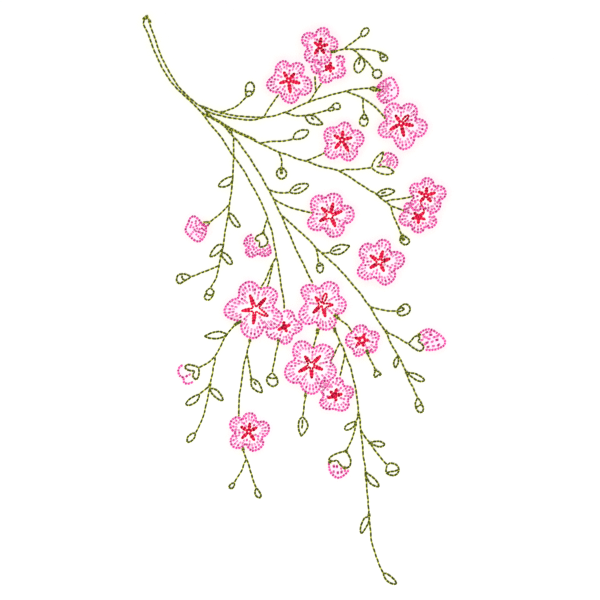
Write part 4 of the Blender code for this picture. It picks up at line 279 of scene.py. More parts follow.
# the sixteen open blossoms: outline of the petals (sharp where two petals meet), centre, and the tips of the red star
BLOSSOMS = {
    "blossom_01": (
        "@275.3,74.3! 275.6,72 276,67 278,64 281,62 284,61 287,62.3 289,65 290,67.5! 291,66 293,64 297,63 301,64"
        " 303.5,67 304,70 302,74 300,77! 303,76.5 306,77 309,79 311,83 311.5,87 310.5,91 307.5,94 303,95 299.5,94"
        " 298,93.2! 298.5,96 297.5,99 295,102 291.5,103 287.5,102.3 284,100 282,97 281,94.5 281,92! 278,92.5 274,92"
        " 270,90 267.5,87 267,83 269,80 272,77.5",
        (288.5, 80.5), "283.5,71.5 295,73 300.5,83.5 290.5,93.5 279,83.5"),
    "blossom_02": (
        "@316,37! 316.3,33.5 317,31 320,28.5 324,28 327.5,29.5 329,33 328,36.5! 331,37 335,39 337.5,43 337.5,47"
        " 335,50 331,51 330.5,53.5! 331,56 330,59.5 328,62 324,64 320,63 317,60.5 316,59! 314.5,61.5 313,62.5 309,62"
        " 305.5,59 304.5,55 306,51 308.5,47.5! 305,46 302.5,43 302,39 303,36 306,33.5 310,33 314,34.5",
        (320, 46.5), "321,37.5 328.5,44.5 324.5,54 314.3,54.5 313.8,42"),
    "blossom_03": (
        "311.3,65 311.3,66.5 312,69.8 314,72.5 318,73.6 320.8,73.3! 319.6,76 319.5,79 321.5,82 325.5,82.7 330,81.5"
        " 333,79 333.8,77! 336,78 341,77.5 344.5,74 345.5,70.5 343.5,67 340.8,65! 343.3,63.6 344.5,61 343.5,57.5"
        " 341,56 338,56.6 335.5,57.8",
        (329.5, 67), "331,62 335,68.8 330.8,72.6 325,70.8 324.6,66.6"),
    "blossom_04": (
        "@387.5,120.5! 386,117 384.5,113 385.5,109 388,106 391,104 396,104 399.5,106.5 401,109.5! 402,108 404,105.5"
        " 408,104 412,104.3 416,107.5 417,111 416.5,115 414.5,119! 417,119 421,119.5 425,122 427,126.5 426.5,129.5"
        " 424,134 420,136.5 416,136.5 413.5,135.5! 414.5,139 413,143 411,146 408,148.5 403,149.5 399,147.5 396,143"
        " 394,139 394,136.5! 391,137 387,137.5 382,136.3 379,133.5 378.5,130 380,126 382,123.5 385.5,121.5",
        (401, 123.5), "395,114.7 409,115 414,125.8 404,137 389.5,130.3"),
    "blossom_05": (
        "@338,127! 339.5,125.3 342,123 345,122.5 349,124.5 351,128.5 350.5,130.5! 353,131 357.5,130.5 361,133"
        " 363.5,137.5 363.5,141 361.5,144.5 358,147 355.5,147.5! 357,150 357,154 354,158 350,160.7 346,160.5"
        " 342.5,158 340,153.5! 338,156.5 334,158.5 330,158.3 327,156 325,152.5 325,149 327,146 328.5,145! 326,142"
        " 324.3,137.5 324.5,132.5 327,129 331,127.5 335,128",
        (342, 140), "343,130.5 352.5,137.5 349,152 334.8,149 333.5,135"),
    "blossom_06": (
        "@313.6,213.9! 313.2,211.6 310.8,207.9 310.8,205.1 311.1,202.3 312.2,199.2 314.6,197.6 316.7,196 319.2,195.7"
        " 321.8,195.9 323.7,197.5 325.3,199! 326.9,196.2 329,194.6 331.6,193.6 335.3,193.9 338.4,195 341.4,198.1"
        " 341.9,200.2 341.6,203 340,206.5! 343.7,205.8 346.5,206 349.3,206.5 351.2,208.3 353.3,211.6 353.8,214.4"
        " 353.5,217.7 352.1,220.2 350.5,221.6 347.5,223.7 345.1,223.5 342.3,222.8! 343.5,225.6 344.2,229.3"
        " 342.3,232.4 340.2,235.2 338.1,236.1 334.4,237 330.9,237 328.6,234.9 326.5,232.6 325.1,230.5 324.1,227!"
        " 322.7,228.4 319.5,230.5 316,230.3 312.7,229.8 310.1,228.4 308.3,226.1 307.6,223.3 308.5,220 310.4,217.7"
        " 312.5,215.6",
        (330.3, 215), "321.1,207.4 333.2,202.5 342.6,211.1 335.6,227.2 319.2,221.6"),
    "blossom_07": (
        "@422,184.5! 422,181 423.3,179.1 425.7,178.6 428.4,178.1 431.1,179.4 433.2,182.1 433.7,184.7 434,187.4!"
        " 435.6,186.1 438,186.1 440.9,186.3 443.1,187.7 444.9,190.6 445.7,193.8 445.2,196.5 443.1,198.9 440.4,199.9"
        " 437.7,199.7! 439.9,201.3 440.4,204.5 439.9,207.7 438.5,210.1 436.4,211.4 433.5,213.3 430.3,212.2"
        " 427.3,210.6 424.4,207! 420.4,209 418.3,210.3 415.9,210.3 413.2,209 411.1,207.1 409.7,205 410,202.5"
        " 412.1,200.7 413.2,198.5 414.3,196.7! 411.1,193.8 410,191.1 409.7,188.5 411.1,186.3 413.2,184.2 415.9,183.7"
        " 418.5,183.7",
        (426, 195.5), "426.8,187.1 435.9,192.7 431.3,202.1 419.9,202.1 418,191.4"),
    "blossom_08": (
        "408,202.7 407.3,202.9 405.2,204.5 404.1,207.1 404.7,209.3 405.2,211.4! 403.1,213.3 400.7,215.1 399.6,217.5"
        " 399.1,219.9 400.1,222.1 402,224.2 404.7,225.5 407.3,225.8 410,225.2 412.1,224.7! 411.6,227.4 412.7,230.3"
        " 415.3,231.9 417.5,233 419.6,232.5 422.5,231.4 424.2,228.7 424.5,226! 426.5,227.4 429.7,228.2 432.4,227.1"
        " 434.5,225.8 436.4,222.6 436.1,219.9 434.5,217.3 432.9,215.7",
        (418.5, 217), "424.7,211.9 425.7,219.9 418.3,224.2 411.3,218.9 413.7,212.2"),
    "blossom_09": (
        "@364.4,261.4! 363,260.2 361.6,258.1 359.5,256.3 359.5,252.5 360.4,249.3 362.5,246 365.1,243.9 368.3,243.7"
        " 371.1,244.6 373.2,246 374.9,247.6! 376.3,244.1 377.9,242 380,240.4 382.3,239.7 385.1,240.4 387.5,241.6"
        " 389.3,243.7 390.3,246.5 389.8,249 389.3,252.5! 392.1,252.5 394,252.1 396.3,251.8 398.9,252.5 401.7,254.4"
        " 403.8,257.4 404.3,260.5 403.3,263.3 401.9,265.8 398.9,267.9 396.1,269.1 393.2,269.2! 394.7,272.1"
        " 395.4,275.4 394.2,278.7 392.1,281.5 389.3,283.6 386.3,284.5 384.2,285 381.9,283.8 379.8,282.4 378.2,280.4"
        " 376.7,278.7 375.3,276.3! 373,277.5 370.4,278.7 367.4,279.8 363.7,278.7 360.6,277 358.5,274.9 357.8,272.1"
        " 358.1,270.3 359,267.9 360.4,266.1 362.3,263.7",
        (379.4, 262), "369.7,255.1 383,250.4 390.5,258.6 384.2,271.9 369.7,268.4"),
    "blossom_10": (
        "@239.3,297! 239.1,293.3 239.3,290.5 239.8,287.9 241.6,285.8 243.7,283.9 245.8,282.8 248.6,281.8 252.1,282.1"
        " 254.9,283.2 256.6,285.3 258.2,287 259.4,289.3! 261.5,288.9 264.3,288 267.3,287.2 270,288 273.2,289.2"
        " 275.7,291.5 277.3,293.8 276.9,298 276.1,300.9 274,303.9 272.1,307! 274.6,308.3 278.5,311 281.2,313.4"
        " 282,315.9 282.3,318.8 281.4,321.2 279.6,324.2 277.2,327.2 273.6,328.4 270,329 266.4,328.4 264,326!"
        " 263.1,329 261.9,332 260.4,334.7 258,336.8 255,338.3 251.4,338 247.8,337.1 244.9,335.2 242.8,332.6"
        " 241.5,329.5 241,326 242,321! 239.5,321 236.4,320.4 233.1,319.5 230.4,318.3 228,317.4 225.6,315.3 224.4,312"
        " 225,309 225.6,306.3 227.7,304.2 229.8,301.8 232.3,300 234.8,299.1 237.4,298.8",
        (255.4, 309.3), "249.6,294.5 266.1,297.8 268.5,316.4 253.2,324.5 241.2,310.9"),
    "blossom_11": (
        "@295.5,359.8! 294.6,356.6 293.2,353.3 293.1,350 293.9,346.5 296.2,343.6 299,341.8 302,341.2 305.3,342"
        " 308.3,343.9 311,346.8 312.8,349! 315.8,347.4 319.4,345.4 323,344.5 326.4,345.5 329.4,347 331.8,349"
        " 333,351.8 333.6,355 332,358 329.6,361.8! 331.4,363.9 333.8,365.4 335.3,368.4 335.9,372 334.7,375.8"
        " 332.3,378.6 328.8,380.5 325,381.2 322.5,381.3 320.3,382! 320.9,384.4 320.2,387 319,390 317,392 313.2,393.8"
        " 309,393.5 305,391.3 302.9,389.5 301.4,387 300.7,384.5 301,382.2! 298.1,382.8 295.1,383.1 292.5,382.5"
        " 289.8,381.5 287.7,379.3 285.6,375.9 284.9,372.2 285.9,368.6 287.1,365.6 289.2,363.2 292.2,361.4",
        (311.4, 365.3), "304.5,355.7 320.9,355.4 323.1,369.8 311.7,378.7 298.2,372.2"),
    "blossom_12": (
        "335.6,379.4 336.8,378.2 339.2,378 342.2,379.8 343.4,382.8 342.8,385.8! 345.8,386.7 348.8,386.4 351.8,388.2"
        " 353.3,391.8 353,394.8 350.9,397.8 349.1,399 347,400.2! 348.2,402.6 348.8,405.6 347,408.6 344,410.4"
        " 341,410.7 337.4,410.4 334.4,408.6! 331.4,409.2 328.4,409.5 324.8,408.6 321.8,406.8 320,403.2 320,400.8"
        " 321.8,398.4 324.2,396.6! 322.4,393.6 321.2,391.4",
        (334.5, 396), "336.8,388.2 342.5,393.9 336.5,401.4 327.2,398.4 329.9,390.9"),
    "blossom_13": (
        "@306.9,303! 305.4,300 303.3,297 301.8,294.2 301.2,291 302.2,288 305.4,285.9 308.4,285 312,285 315.3,286.2"
        " 317.4,288.2 319.2,289.6! 321,286.5 323.4,284.1 326.4,282.6 329.4,282 333,282.9 336.6,285.3 338.4,288.9"
        " 338.4,293.1 337.2,295.8! 341.4,297 343.2,299.4 345.6,302.4 345.9,306 344.4,310 343.2,312.3 341,313.6"
        " 337.4,313.4 334.2,315.2! 334.3,318.5 336.2,321.3 335.3,323.6 333.9,326.4 330.3,328.9 326.4,330.2"
        " 323.4,329.6 319.8,328.2 317.7,325.4 317.1,323 316.2,321.3! 313.8,322.7 310.8,323.9 307.2,324.2 304.2,323.6"
        " 302.4,321.2 300,318.2 299.1,315.2 299.4,312.2 301.2,309.2 303.6,306.2",
        (322, 304.5), "314.7,296.4 326.4,292.8 333.6,305.1 325.5,317.3 312.7,313.4"),
    "blossom_14": (
        "@352.8,333! 354,329.6 355.2,327.4 358.2,326 361,325.4 364.4,326 366.6,327.9 367.2,331! 369.6,331.6"
        " 372.2,331.4 375.4,331.6 378,334 378.9,338 377.4,340.9 375.6,343! 376.7,345.5 377,348 375.2,350.8"
        " 372.8,352.4 370,352.4 368.6,350.4! 366.6,351.2 364.4,352.8 362.8,354 360,355.8 357.4,356.4 354.8,355.2"
        " 353.4,352.4 354,349.6! 350,347.2 348,345.6 346.4,343.4 346,340 346.3,337.2 348,334.8 349.8,333.4",
        (362, 340), "354.2,337.4 364.8,333.2 369.2,340.4 363.6,346.8 356,346.4"),
    "blossom_15": (
        "283,312.4 284.4,311 288,310.7 291.6,311.6 293.4,314.6 294.3,317.6 294.6,320.6! 297.6,321.2 300.6,323.6"
        " 302.1,327.2 301.2,330.2 298.8,332 295.2,333.2 292.2,334.4! 292.1,336.8 291.6,339.8 289.2,342.2 286.2,343.7"
        " 283.2,344 281.4,342.5 280.5,340.4 279,338! 277.2,338.9 273.6,339.2 270,338 267.6,335.6 266.4,332.6"
        " 266.6,330.6",
        (284, 327), "283.8,321.2 290.7,324.8 287.1,332.3 277.5,330.2"),
    "blossom_16": (
        "@236.5,433! 233,431.3 230.7,428 229.8,424.9 230.7,421.4 232.8,419.1 236,417.3 239,417.2 241,418.6"
        " 242.6,420.6! 243.2,417.2 245.2,414.7 248.5,413.3 251,413.2 253.2,414.1 255.4,416.8 255.6,419.5 256.1,422.8!"
        " 259.4,422 261.5,421.5 264.3,421.6 267,423.6 268.6,425.8 269.1,428.8 268.3,432.2 266.7,434.8 264.2,436.7"
        " 261,437.8! 262.6,440 263.3,443.3 261.7,446.7 259,449 255.7,450.7 252.3,451 249.7,449.3 247.7,446.7"
        " 246,443.3! 243.5,446 241.2,447.6 238.4,448.4 235.7,448 233,446.8 230.9,444.2 230.4,441 231.3,437.8"
        " 233.6,435.1",
        (248.8, 431.8), "249.8,422.5 257.5,427.1 254.7,440.8 241.3,438.7 240.4,426.3"),
}

# the seven closed or half open buds in pink
PINK_BUDS = {
    "bud_right_of_top": "@377.9,86.2! 380,83.7 383.3,81 387.3,79 390.4,77.4 392.8,78.8 394.7,81.5 396.2,85 398,88"
                        " 398.3,91 398,94 396.5,96.8 394.3,98.8 391.2,99.6 389.4,100.8 387.4,102.4 385,103.2 382,102.4"
                        " 380.2,99.8 378,97 376.8,94 378.2,92.9! 380.4,91.2! 379.6,88.8",
    "bud_in_sepals": "385.1,154.6 386.6,152.8 389,153.1 391.8,154.4 394.8,156.2 396.6,158.4 397.4,161.2 397.5,164"
                     " 395.8,166.6 393.6,168.2",
    "bud_left": "@193,215.8 195.6,217.5 198.3,219.2 200.2,221.6 200.8,224.6! 203.5,225.6! 206.2,227.2 206.3,229.7"
                " 205.7,233.7 203.8,237.5 201.2,241 197.8,241.8 194.6,240.4 191.9,238.2 189.5,236.3 187.8,233.9"
                " 186,232 184.8,229 186.4,226.4 188.3,223.7 189,220 190.8,217.7",
    "half_open_left": "252.4,234.9 250,235.5 247.6,236.6 245.8,239 244.6,241.6 243.9,244 245.4,246.1 247.8,246.6"
                      " 250,247.6! 246.6,249 245.4,252.4 247.5,255.1 249.6,256.9 252.6,256.9 255.6,255.7 258.6,253!"
                      " 260.4,255.4 263.4,256.2 266.4,256 269.4,254.5 271.5,252.4 269.4,249.4! 270.9,247.4 270.2,245.6",
    "bud_far_right": "419.8,333.4 421.2,332 423.2,330.6 426.2,329.7 428,328.8 430.4,329.4 433.4,330.6 435.8,332.4"
                     " 437.9,333.9 440.3,335.4 442.4,337.5 444.2,339 445.4,342.6 444.8,345 442.4,346.8 439.4,348.3"
                     " 435.8,349.5 431,350.1 426.2,350.1 425.2,349.9",
    "bud_lower_left": "182.9,365.4 181.6,365.7 179.4,366.9 178.5,369.6 178.5,372.9 179.7,376.2 182.4,377.1 184.4,378!"
                      " 183.3,380.4 183.6,382.5 185.7,383.7 188.7,383.7 191.1,382.7 193.2,381.8",
    "bud_low": "328.8,462.4 329,465.2 329.2,468.2 330.1,471.2 331.6,473.9 334,476.3 337.3,478.1 340.6,477.5"
               " 343.3,475.7 346,473.6 348.1,470.9 348.6,469.8",
}

# thick spots where a line of green stitching is sewn over itself, with the direction of the line in degrees
KNOTS = (
    "203,107.5,30 221.5,112.7,15 225.7,126.8,30 230.5,129.5,35 221,256,100 271.8,266.2,110 386,331.5,60 406.5,372.6,70"
    " 358.4,415,80 355.3,424.7,95 346,451.1,150 370,443,20 369,515.3,85 305.3,395.6,95 209.9,384.9,100 251.4,379.6,30"
    " 375.5,370.4,60 238.5,322.9,150 317.4,330,105 317.4,333,105 335,315.6,40 337.8,317.9,40"
    " 334.5,329,70 334.9,331,70 367,351,60 367.6,353.4,60 331.8,51.9,170 334.4,51.6,170 278.4,340.4,100 243,449.3,80"
    " 360.6,57,30 380.4,53.2,20 144.2,18.8,130 146.8,16.9,163 149.7,21.6,75 281.2,169.6,90 281.4,172.8,90 235.6,324.5,145 240.2,321.7,155 249.8,340.7,85"
    " 402.3,235.6,80 401.3,238.4,70 403.4,239.4,60 376.5,89.6,20 379.6,90.2,20 263.1,233,100 329.7,462.2,80"
    " 344.6,468,20 419.3,334.6,60 237.4,323.2,150"
)
# light stitches that fill a small calyx
PALE_MARKS = "374,88.9,5 377.2,89.8,10 206,222.7,5 258.2,240.9,-5"

# extra runs at the hidden ends of the stems, which the blossoms' stitching covers in part
GREEN_ENDS = {
    "spray": ["383.9,116.8 385.5,119", "322.8,154 324.7,152.6", "311,212.9 312.6,213", "411,196.8 412.4,196.4",
              "402.6,210.2 404,210.7", "261.2,287 260.5,288.9", "267.8,285 267.3,286.9", "320.8,84.5 321.2,83.3",
              "205.5,113.8 212.6,117.6 219.8,121.5 225.9,125.8 231.3,128.5 239.3,132.7 249.3,137 256,140.6"],
    "top_sprig": ["333.4,52.2 331,51.6"],
    "left_sprig": ["239.6,322.9 241.4,320.6"],
    "middle_left_stem": ["238.7,415.2 238.7,416.3"],
    "short_stem": ["319.2,328.6 319,330.4", "313.6,346.2 312.9,348.8"],
    "right_stem": ["338,313.6 336.5,316.3", "351.1,330.9 352.6,332.4"],
    "long_stem": ["334.2,328.8 334.6,330.2", "334.4,354.6 332.3,358.2 330.8,361.2"],
    "bud_stem": ["366.8,350 367.2,353.2"],
    "leaf_stem": ["305.3,391.8 305.8,393.9"],
    "forked_stem": ["242.6,446.4 242.7,448.6"],
}

# the open middle of a star, where it shows: the five corners between the arms
STAR_MIDDLES = {
    "blossom_06": "329.5,212.5 331.6,213.9 332.5,217.2 329.7,219.5 326,215.3",
    "blossom_09": "378.8,259.5 382.1,260 381.6,264.2 380,264.7 376.3,262.8",
    "blossom_10": "256.2,306.8 259.5,307.7 255.9,311.6 252.9,312.2 252.6,308",
    "blossom_11": "311.1,362.9 313.5,364.7 312.9,367.4 309.6,367.1 307.8,364.7",
    "blossom_13": "322.3,303.3 324.8,304.8 326,308 322.8,307 318.8,305.3",
    "blossom_14": "362,336.8 364.8,338 365.2,342.8 361.2,344 359.6,340",
}
MIDDLE_SIZE = {"blossom_06": 0.70, "blossom_09": 0.62, "blossom_10": 0.84, "blossom_11": 0.84, "blossom_13": 0.86,
               "blossom_14": 0.45}
# arms whose two lines stand apart, with half the gap
OPEN_ARMS = {
    "blossom_01": [((295, 73), 0.9)],
    "blossom_04": [((409, 115), 1.8)],
    "blossom_10": [((268.5, 316.4), 1.7)],
    "blossom_13": [((326.4, 292.8), 1.9), ((333.6, 305.1), 1.3)],
}
# the red thread carried from one star to the next
CARRIED = {"blossom_08": "420.4,202.3 421.7,205.5 423.3,209.3 424.4,211.9"}

# stitches inside the pink buds: middles of single stitches (! for a thick dark one), their direction in degrees and
# their length
BUD_STITCHES = {
    "bud_right_of_top": (
        "385.7,82 389.9,82.8 382.7,83.9 386.3,84.2 383.2,86.7! 387.4,86.7 390.4,85.6 394.3,88.1 380.4,86.7 385.4,89.2"
        " 381.6,90 388.5,88.9 391.6,90 381,92.3 384.6,93.4 388.2,93.1 382.7,95.3 385.4,97.6 387.9,95.9 391.3,95.9"
        " 380.4,96.4 384.3,99.5 377.7,86.7! 379.6,84.6 384.9,80.6 388.2,85 386,86.6 383.4,88.6 379.3,94.6 382.3,100.4"
        " 386.9,100.4 383.2,91.4 386.4,91.2", 60, 2.6),
    "bud_in_sepals": (
        "387.8,156.4 385,154.9 387.2,158.4 390,158.5 390.6,160.6 393,160.2 393.9,162.4 385,160.4 387.2,162.1"
        " 390.3,163.5 386.9,164.6 383.3,161.6 380.6,164.9! 392.8,165.2 388.6,160.4 391.6,157.6 389.2,165.8", 40, 2.5),
    "bud_left": (
        "195.8,221.3 191.9,222.5 195.6,223.6 201.1,222.8! 191.1,225.3 196.3,226 198.9,225 203.1,225.3! 205.8,226.7!"
        " 193.3,227.5 190.3,227.2 197.2,228.6 194.5,229.9 199.6,229.2 201.9,228.5! 203.9,230! 193.1,232.2 198.6,231.9!"
        " 196.1,231.4 191.4,234.2 196.4,234.6 200.3,232.8 202.6,233.3! 201.5,235.7 198.4,236.6 200.3,238.6 207.8,225.4! 203.8,224.1!",
        120, 2.4),
    "half_open_left": (
        "250.1,238.6 249.8,241.3 249.8,244.1 254.5,243.8 250.6,249.7 253.9,249.7 251.7,252.7 255.6,252.2 260.1,250"
        " 262.6,252.2 265.1,250.6 268.4,251.6 247,240.2 247.2,243.2 252.3,246.3 252.7,241.3 252.6,238.2 248.3,251.4"
        " 248.7,254.2 253.2,254.8 257.8,250.4 256.4,247.9 260.6,252.8 267.4,249 266.9,253.5 264.1,253.8 263.2,249.3 268.7,245.2 253.6,247.5",
        -55, 2.7),
    "bud_far_right": (
        "426.8,332.4 423.4,334.8 430.7,335.1! 434.3,337.3 426.6,337.7 429,339.2 436.9,340! 421.9,340.2 426.9,342.6!"
        " 432.2,341.9 438.5,345.1! 433.4,346.2 428,347 424.4,337.2 425,344.4 430.4,332.2 437.2,336.4", -17, 3.9),
    "bud_lower_left": ("186.7,376.3! 189.6,374.7", -40, 2.9),
    "bud_low": ("333.8,466.4! 336.9,466.6! 341.3,468.4 333.6,471.8 337.7,472.8! 341.5,472.2! 344.8,470.8", 88, 3.5),
}


# more stitches where one blossom's petal begins under another's: middles of single stitches
MORE_PETAL_STITCHES = {
    "blossom_03": (
        "315.2,60.5 317.7,60.6 314.9,62.7 317.9,63.9 318.8,61.9 320.6,65 314.6,65.5 315.8,67.3 317,69 318.8,69.4"
        " 318.2,71.2 320.9,71.6 321.8,67.2"),
    "blossom_08": (
        "408.1,203.6 411.7,204.4 411.1,206.6 408.6,208 412.5,208.3 413.4,210 416.1,210.2 415.8,207.2 405.3,212.2"
        " 408.1,210.9 406.5,209.1 409.7,205.4 418.4,210.8 430.6,214.2 429.5,217.2 432,217.6"),
    "blossom_12": (
        "324.4,378.8 322.5,381 320.9,383.5 323.1,383.4 325.8,383.9 328.9,382.4 327.9,384.4 333,382.4 330.8,385"
        " 331.8,386.8 336.7,381.2 335.6,383.8 338.3,385 322.2,387.2 324.2,385.8 324.9,388 327.5,389.8 323.3,390.3"
        " 329.2,387 326.5,386.6 321.4,391.6 323.2,393.9"),
}


# ---------------------------------------------------------------- lines

def read(text):
    """The points of a path, which of them are sharp, and whether it closes."""
    closed = text.startswith("@")
    words = text.lstrip("@").split()
    points = np.array([[float(n) for n in w.rstrip("!").split(",")[:2]] for w in words])
    return closed, points, np.array([w.endswith("!") for w in words])


def smooth(points, closed=False, step=0.2):
    """A smooth line through the points, as many close points."""
    if len(points) == 2 and not closed:
        n = max(2, int(np.linalg.norm(points[1] - points[0]) / step))
        return points[0] + (points[1] - points[0]) * np.linspace(0, 1, n + 1)[:, None]
    p = np.vstack([points[-2:], points, points[:3]]) if closed else np.vstack(
        [2 * points[0] - points[1], points, 2 * points[-1] - points[-2]])
    gaps = np.linalg.norm(np.diff(p, axis=0), axis=1) + 1e-9
    at = np.concatenate([[0], np.cumsum(gaps)])
    slope = (p[2:] - p[:-2]) / (at[2:] - at[:-2])[:, None]
    first, last = (2, len(p) - 3) if closed else (1, len(p) - 2)
    made = []
    for i in range(first, last):
        h = gaps[i]
        t = np.linspace(0, 1, max(2, int(h / step)) + 1)[:-1, None]
        made.append((2 * t**3 - 3 * t**2 + 1) * p[i] + (t**3 - 2 * t**2 + t) * h * slope[i - 1]
                    + (3 * t**2 - 2 * t**3) * p[i + 1] + (t**3 - t**2) * h * slope[i])
    made.append(p[last][None])
    return np.vstack(made)


def runs(text):
    """The smooth lines between a path's sharp points, and whether there is one closed line without any."""
    closed, points, sharp = read(text)
    corners = list(np.flatnonzero(sharp))
    if closed:
        if not corners:
            return [smooth(points, True)], True
        points = np.roll(points, -corners[0], axis=0)
        corners = [c - corners[0] for c in corners] + [len(points)]
        points = np.vstack([points, points[:1]])
        return [smooth(points[a:b + 1]) for a, b in zip(corners, corners[1:])], False
    cuts = sorted(set([0, *corners, len(points) - 1]))
    return [smooth(points[a:b + 1]) for a, b in zip(cuts, cuts[1:])], False


def along_line(line):
    return np.concatenate([[0], np.cumsum(np.linalg.norm(np.diff(line, axis=0), axis=1))])


def at(line, places):
    s = along_line(line)
    return np.stack([np.interp(places, s, line[:, 0]), np.interp(places, s, line[:, 1])], 1)


class Work:
    """The stitches of one piece: where each begins and ends, half its width, its tone (how much painted shade it
    takes), how pale it is, how long its painted highlights at the ends are, and how much thinner it gets to its end (to
    its start if below 0)."""

    def __init__(self):
        self.a, self.b, self.r, self.tone, self.fade, self.rise, self.ends, self.point = ([] for _ in range(8))

    def one(self, a, b, r, fade=0.0, tone=None, rise=0.0, ends=1.0, point=0.0):
        self.ends.append(ends)
        self.point.append(point)
        self.a.append(a)
        self.b.append(b)
        self.r.append(r)
        self.fade.append(fade)
        self.tone.append(dice.random() if tone is None else tone)
        self.rise.append(rise)

    def line(self, line, pitch, r, fade=0.0, tone=None, shake=0.12, rise=0.0, ends=1.0, point=0.0):
        """Stitches of about that length from one end of the line to the other."""
        whole = along_line(line)[-1]
        n = max(1, round(whole / pitch))
        gap = np.linspace(0, whole, n + 1)
        if n > 1:
            gap[1:-1] += dice.normal(0, 0.07 * pitch, n - 1)
        holes = at(line, gap)
        if n > 1:
            holes[1:-1] += dice.normal(0, shake, (n - 1, 2))
        for k, (a, b) in enumerate(zip(holes, holes[1:])):
            self.one(a, b, r, fade, tone, rise, ends, -point if k == 0 else point if k == n - 1 else 0.0)

    def dot(self, middle, degrees, long, r, fade=0.0, tone=None, rise=0.0):
        d = np.array([math.cos(math.radians(degrees)), math.sin(math.radians(degrees))]) * long / 2
        middle = np.asarray(middle, float)
        self.one(middle - d, middle + d, r, fade, tone, rise)


# ---------------------------------------------------------------- the stitching

GREEN_R, PINK_R, RED_R = 0.97, 1.08, 1.20     # half the width, in drawing units
works = {}

for name, paths in GREEN.items():
    w = works["green_" + name] = Work()
    for i, text in enumerate(paths):
        lines, ring = runs(text)
        small = text.startswith("@")
        whole = sum(along_line(x)[-1] for x in lines)
        pitch = (3.6 if whole < 34 else 4.2) if small else 5.4
        for x in lines:
            w.line(x, pitch, GREEN_R * (1.0 if small else 0.93), rise=0.03 * (i % 3), ends=0.62 if small else 0.9,
                   point=0.42 if small and not ring else 0.0)
    for text in GREEN_ENDS.get(name, []):
        w.line(smooth(read(text)[1]), 3.5, GREEN_R)

# midribs and cups go with the piece whose line is nearest
def nearest_work(point):
    best = None
    for key, w in works.items():
        mids = (np.array(w.a) + np.array(w.b)) / 2
        d = np.linalg.norm(mids - point, axis=1).min()
        if best is None or d < best[0]:
            best = (d, key)
    return works[best[1]]


marks = [(nearest_work(read(t)[1].mean(0)), t) for t in GREEN_MARKS]
knots = [[float(n) for n in t.split(",")] for t in KNOTS.split()]
knots = [(nearest_work(np.array(k[:2])), k) for k in knots]
for w, text in marks:
    for x in runs(text)[0]:
        w.line(x, 3.9, GREEN_R * 0.97, ends=0.62)
for text in PALE_MARKS.split():
    u, v, degrees = [float(n) for n in text.split(",")]
    nearest_work(np.array([u, v])).dot((u, v), degrees, 3.2, GREEN_R, fade=0.8)
for w, (u, v, degrees) in knots:
    side = np.array([-math.sin(math.radians(degrees)), math.cos(math.radians(degrees))])
    for off in (-0.55, 0.55):
        w.dot(np.array([u, v]) + side * off, degrees + off * 8, 3.6, GREEN_R, tone=0.15 + 0.45 * dice.random(), rise=0.16)


def petal_rows(w, line, centre, open_end=False):
    """Short rows inside one petal, from near its outline towards the middle of the blossom."""
    whole = along_line(line)[-1]
    tip = line[np.argmax(np.linalg.norm(line - centre, axis=1))] if not open_end else at(line, [whole / 2])[0]
    reach = np.linalg.norm(tip - centre)
    axis = (tip - centre) / reach
    focus = centre - axis * 0.45 * reach
    n = max(2, round(whole / 4.5))
    for k in range(n):
        s = (k + 0.5) * whole / n + dice.normal(0, 0.2)
        if s < 3.4 or s > whole - 3.4:
            continue
        p, q = at(line, [s - 0.6, s + 0.6])
        here = (p + q) / 2
        normal = np.array([-(q - p)[1], (q - p)[0]])
        normal /= np.linalg.norm(normal)
        if normal @ (focus - here) < 0:
            normal = -normal
        to_focus = (focus - here) / np.linalg.norm(focus - here)
        d = 0.8 * to_focus + 0.2 * normal
        d /= np.linalg.norm(d)
        pitch = min(3.8, max(3.0, 0.125 * reach))
        start = (min(2.7, 0.085 * reach) + 0.35 * dice.random()) / max(0.62, d @ normal)
        w.one(here + d * 0.7, here + d * start, PINK_R * 0.72, fade=0.95)
        for j in range(2):
            a, b = here + d * (start + pitch * j), here + d * (start + pitch * (j + 1))
            middle = (a + b) / 2
            if np.linalg.norm(middle - centre) < 0.44 * reach or np.abs((line - middle)).sum(1).min() < 1.9:
                break
            w.one(a + dice.normal(0, 0.12, 2), b + dice.normal(0, 0.12, 2), PINK_R * (0.92 - 0.1 * j),
                  fade=(0.02, 0.45)[j] + dice.normal(0, 0.12))


def notch_row(w, notch, centre):
    reach = np.linalg.norm(notch - centre)
    d = (centre - notch) / reach
    count = max(1, min(3, int((reach - 5.5) / 3.2)))
    for j in range(count):
        a, b = notch + d * (1.6 + 3.15 * j), notch + d * (1.6 + 3.15 * (j + 1))
        w.one(a + dice.normal(0, 0.1, 2), b + dice.normal(0, 0.1, 2), PINK_R * 0.94, fade=(0.0, 0.2, 0.55)[j])


def inside(points, outline):
    x, y = points[:, 0][:, None], points[:, 1][:, None]
    x1, y1 = outline[:, 0][None], outline[:, 1][None]
    x2, y2 = np.roll(x1, -1, 1), np.roll(y1, -1, 1)
    crosses = (y1 > y) != (y2 > y)
    where = (x2 - x1) * (y - y1) / np.where(y2 == y1, 1e-9, y2 - y1) + x1
    return ((crosses & (x < where)).sum(1) % 2).astype(bool)


